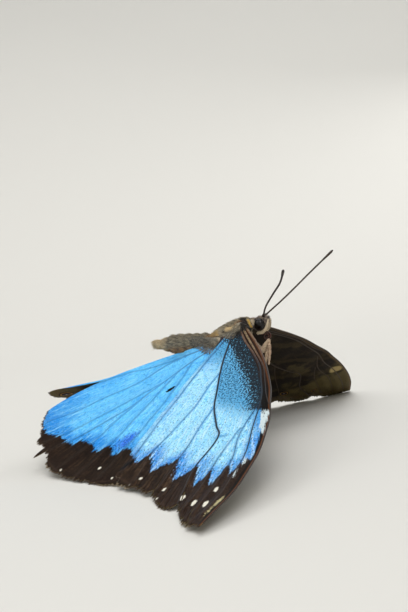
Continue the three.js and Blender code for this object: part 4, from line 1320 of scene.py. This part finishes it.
class BUTTERFLY_OT_fringes(bpy.types.Operator):
    """Edge the margins with short scales and lay long hair over the wing roots"""
    bl_idname = "butterfly.fringes"
    bl_label = "Fringes and Root Hair"

    def execute(self, context):
        settings = context.scene.butterfly_wings
        fringe_hair = hair_fibre("Fringe scales", "#33271F", root="#1C1410", roughness=0.7)
        root_hair = hair_fibre("Insect hair, wing root", "#908E80", root="#4A463C")
        for kind, wing in WINGS.items():
            _, outline, places = wing_outline(wing, FRINGE_SCALES)
            outer = (places >= 0) & (places <= 1)
            edge, place = outline[outer], places[outer]
            for side in SIDES:
                rng = np.random.default_rng(41 + len(kind) * SIDES[side])
                flat = edge + rng.normal(0, 0.06, edge.shape)
                away = unit(edge - np.array(wing["centre"])) + rng.normal(0, 0.22, edge.shape)
                roots = wing_surface(side, wing, flat)
                up = wing_up(side, wing, *flat.T)
                lie = laid(wing_surface(side, wing, flat + away * 0.5) - roots, up)
                middle = margin_relief(wing, place) > 0.55
                pale = np.where(middle, 0.55, 0.04) * rng.uniform(0.3, 1, len(place))
                seats = np.stack((0.02 + 0.96 * place, rng.uniform(0.3, 0.7, len(place))), axis=1)
                piece = locks(
                    f"coat_{kind}_{side}_fringe", roots, up, lie,
                    settings.fringe / MM * rng.uniform(0.5, 1.1, len(place)),
                    rng.uniform(0.06, 0.12, len(place)), np.radians(rng.normal(0, 8, len(place))),
                    np.zeros(len(place)), seats, {
                        "pale": pale, "tawny": 0.25 * rng.random(len(place)),
                        "dusk": 0.5 * rng.random(len(place)),
                    })
                fitted(piece, kind, fringe_hair, f"{kind}_{side}")
                self.root_hair(side, kind, wing, root_hair, rng)
        return {"FINISHED"}

    @staticmethod
    def root_hair(side, kind, wing, material, rng):
        """Comb long hair out from the spine over a wing's root, most of it on the upper side."""
        count = ROOT_HAIRS
        fore = wing["key"] == "fore"
        turn = rng.uniform(-0.75, 1.25, count) if fore else rng.uniform(-2.1, -0.3, count)
        longest = 4.6 - 1.5 * smooth(turn, 0.4, 0.9) if fore else 6 + 4 * smooth(-turn, 1.2, 1.9)
        reach = rng.random(count) ** 1.6 * longest
        spine = np.array((-1.2, -0.3) if fore else (-0.8, -1.4))
        flat = spine + reach[:, None] * np.stack((np.cos(turn), np.sin(turn)), axis=1)
        over = rng.random(count) < 0.75
        up = wing_up(side, wing, *flat.T) * np.where(over, 1, -1)[:, None]
        thick = 0.1 + 0.35 * (1 - smooth(reach, 0.5, 3.5))
        roots = wing_surface(side, wing, flat) + up * thick[:, None]
        ahead = flat + 0.4 * unit(flat - spine) + (0.12, -0.05)
        way = wing_surface(side, wing, ahead) - roots + up * thick[:, None]
        lie = laid(unit(way) + rng.normal(0, 0.16, (count, 3)), up)
        length = rng.uniform(0.8, 1.6, count) * (1 - 0.07 * reach)
        seats = np.stack((0.1 + 0.08 * reach, turn / 4 + 0.6), axis=1)
        near = 1 - smooth(reach, 1.4, 3)
        front = smooth(turn, 0, 0.35) if fore else 0.3
        light, warm = mottled(roots), mottled(roots[:, [2, 0, 1]] * 1.2)
        pale = (0.5 * near + 0.1) * rng.random(count) + 0.6 * smooth(light, 0.2, 1)
        tawny = 0.7 * smooth(warm, 0.2, 1) * rng.random(count)
        dusk = ((1 - near) * front * 0.95 + 0.9 * smooth(turn, 0.5, 0.8) + 0.4 * rng.random(count) ** 2
                + 0.5 * smooth(-light, 0.2, 1))
        marks = {"pale": np.clip(pale, 0, 0.9), "tawny": tawny, "dusk": np.clip(dusk, 0, 1)}
        piece = locks(f"coat_{kind}_{side}_root", roots, up, lie, length, rng.uniform(0.06, 0.12, count),
                      np.radians(rng.uniform(3, 18, count)), rng.uniform(0.0, 0.18, count), seats, marks)
        fitted(piece, kind, material, f"{kind}_{side}")


# ---------- stage ----------
class BUTTERFLY_OT_stage(bpy.types.Operator):
    """Lay the pale paper floor, hang the soft lamps and set up the camera"""
    bl_idname = "butterfly.stage"
    bl_label = "Stage"

    def execute(self, context):
        settings = context.scene.butterfly_stage
        floor = started("paper_floor", bpy.ops.mesh.primitive_grid_add,
                        x_subdivisions=120, y_subdivisions=120, size=3.2)
        # the paper lies flat under the wings and rises to a backdrop all round
        paper = coordinates(floor.data)
        paper[:, 2] = 0.8 * np.clip(np.hypot(paper[:, 0], paper[:, 1]) - 0.35, 0, None) ** 2.2
        set_coordinates(floor.data, paper)
        bpy.ops.object.shade_smooth()
        material, _ = new_material("Matt paper backdrop")
        surfaced(material, (*settings.floor, 1), Roughness=0.9, Specular_IOR_Level=0.1)
        floor.data.materials.append(material)

        world = bpy.data.worlds.new("Studio air")
        context.scene.world = world
        world.use_nodes = True
        air = world.node_tree.nodes["Background"].inputs
        air["Color"].default_value = tint("#EEF2F8")
        air["Strength"].default_value = 0.32 * settings.light
        animal = (0, 0, 0.02)
        # name, place, point it faces, size in m and watts
        for name, spot, aim, size, watts in (
                ("Key", (0.25, -0.75, 0.75), animal, 0.6, 5.0), ("Top", (-0.1, 0.1, 0.85), animal, 0.9, 3.0),
                ("Fill", (-0.58, -0.53, 0.58), animal, 0.5, 1.45),
                ("Rim", (0.3, 0.75, 0.5), animal, 0.5, 1.2),
                ("Backdrop", (-0.1, 0.45, 1.0), (-0.4, 1.4, 0.45), 0.8, 3.2)):
            bpy.ops.object.light_add(type="AREA", location=spot)
            lamp = context.object
            lamp.name = lamp.data.name = name
            lamp.data.shape, lamp.data.size, lamp.data.energy = "DISK", size, watts * settings.light
            lamp.rotation_mode = "QUATERNION"
            lamp.rotation_quaternion = (Vector(spot) - Vector(aim)).to_track_quat("Z", "Y")
            lamp.visible_camera = False

        # the camera looks at the animal's right side; lengths are in mm from its middle on the floor
        distance, aside, high = 196.5, -5.8, 31.9
        azimuth, elevation, roll = (math.radians(a) for a in (76, 1, -7.1))
        right = np.array((math.sin(azimuth), math.cos(azimuth), 0))
        back = np.array((math.cos(elevation) * math.cos(azimuth), -math.cos(elevation) * math.sin(azimuth),
                         math.sin(elevation)))
        up = np.cross(back, right)
        target = right * aside + (0, 0, high)
        right, up = (right * math.cos(roll) + up * math.sin(roll),
                     up * math.cos(roll) - right * math.sin(roll))
        bpy.ops.object.camera_add(location=Vector(placed(target + back * distance)))
        camera = context.object
        camera.name = camera.data.name = "Camera"
        camera.rotation_mode = "QUATERNION"
        camera.rotation_quaternion = Matrix((right, up, back)).transposed().to_quaternion()
        camera.data.lens, camera.data.sensor_width = settings.lens, 36
        camera.data.clip_start, camera.data.clip_end = 0.01, 10
        context.scene.camera = camera
        context.scene.view_settings.view_transform = "Standard"
        return {"FINISHED"}


PIECES = (
    BUTTERFLY_OT_skin, BUTTERFLY_OT_coat, BUTTERFLY_OT_eyes, BUTTERFLY_OT_mouthparts, BUTTERFLY_OT_antennae,
    BUTTERFLY_OT_legs, BUTTERFLY_OT_blades, BUTTERFLY_OT_veins, BUTTERFLY_OT_fringes, BUTTERFLY_OT_stage,
)


class BUTTERFLY_PT_pieces(bpy.types.Panel):
    """Lists the pieces in the order in which they are made"""
    bl_idname = "BUTTERFLY_PT_pieces"
    bl_label = "Blue Morpho Butterfly"
    bl_space_type = "VIEW_3D"
    bl_region_type = "UI"
    bl_category = "Butterfly"

    def draw(self, context):
        scene = context.scene
        for settings in (scene.butterfly_wings, scene.butterfly_coat, scene.butterfly_stage):
            box = self.layout.box()
            for name in settings.bl_rna.properties.keys():
                if name not in ("rna_type", "name"):
                    box.prop(settings, name)
        for piece in PIECES:
            self.layout.operator(piece.bl_idname)


CLASSES = (WingSettings, CoatSettings, StageSettings, *PIECES, BUTTERFLY_PT_pieces)


def register():
    """Add the classes and the scene's settings."""
    for each in CLASSES:
        bpy.utils.register_class(each)
    bpy.types.Scene.butterfly_wings = bpy.props.PointerProperty(type=WingSettings)
    bpy.types.Scene.butterfly_coat = bpy.props.PointerProperty(type=CoatSettings)
    bpy.types.Scene.butterfly_stage = bpy.props.PointerProperty(type=StageSettings)


def unregister():
    """Take the settings and the classes away again."""
    del bpy.types.Scene.butterfly_stage
    del bpy.types.Scene.butterfly_coat
    del bpy.types.Scene.butterfly_wings
    for each in reversed(CLASSES):
        bpy.utils.unregister_class(each)


def main():
    """Make the whole butterfly and its stage."""
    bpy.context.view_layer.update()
    register()
    for piece in PIECES:
        family, name = piece.bl_idname.split(".")
        getattr(getattr(bpy.ops, family), name)()


if __name__ == "__main__":
    main()
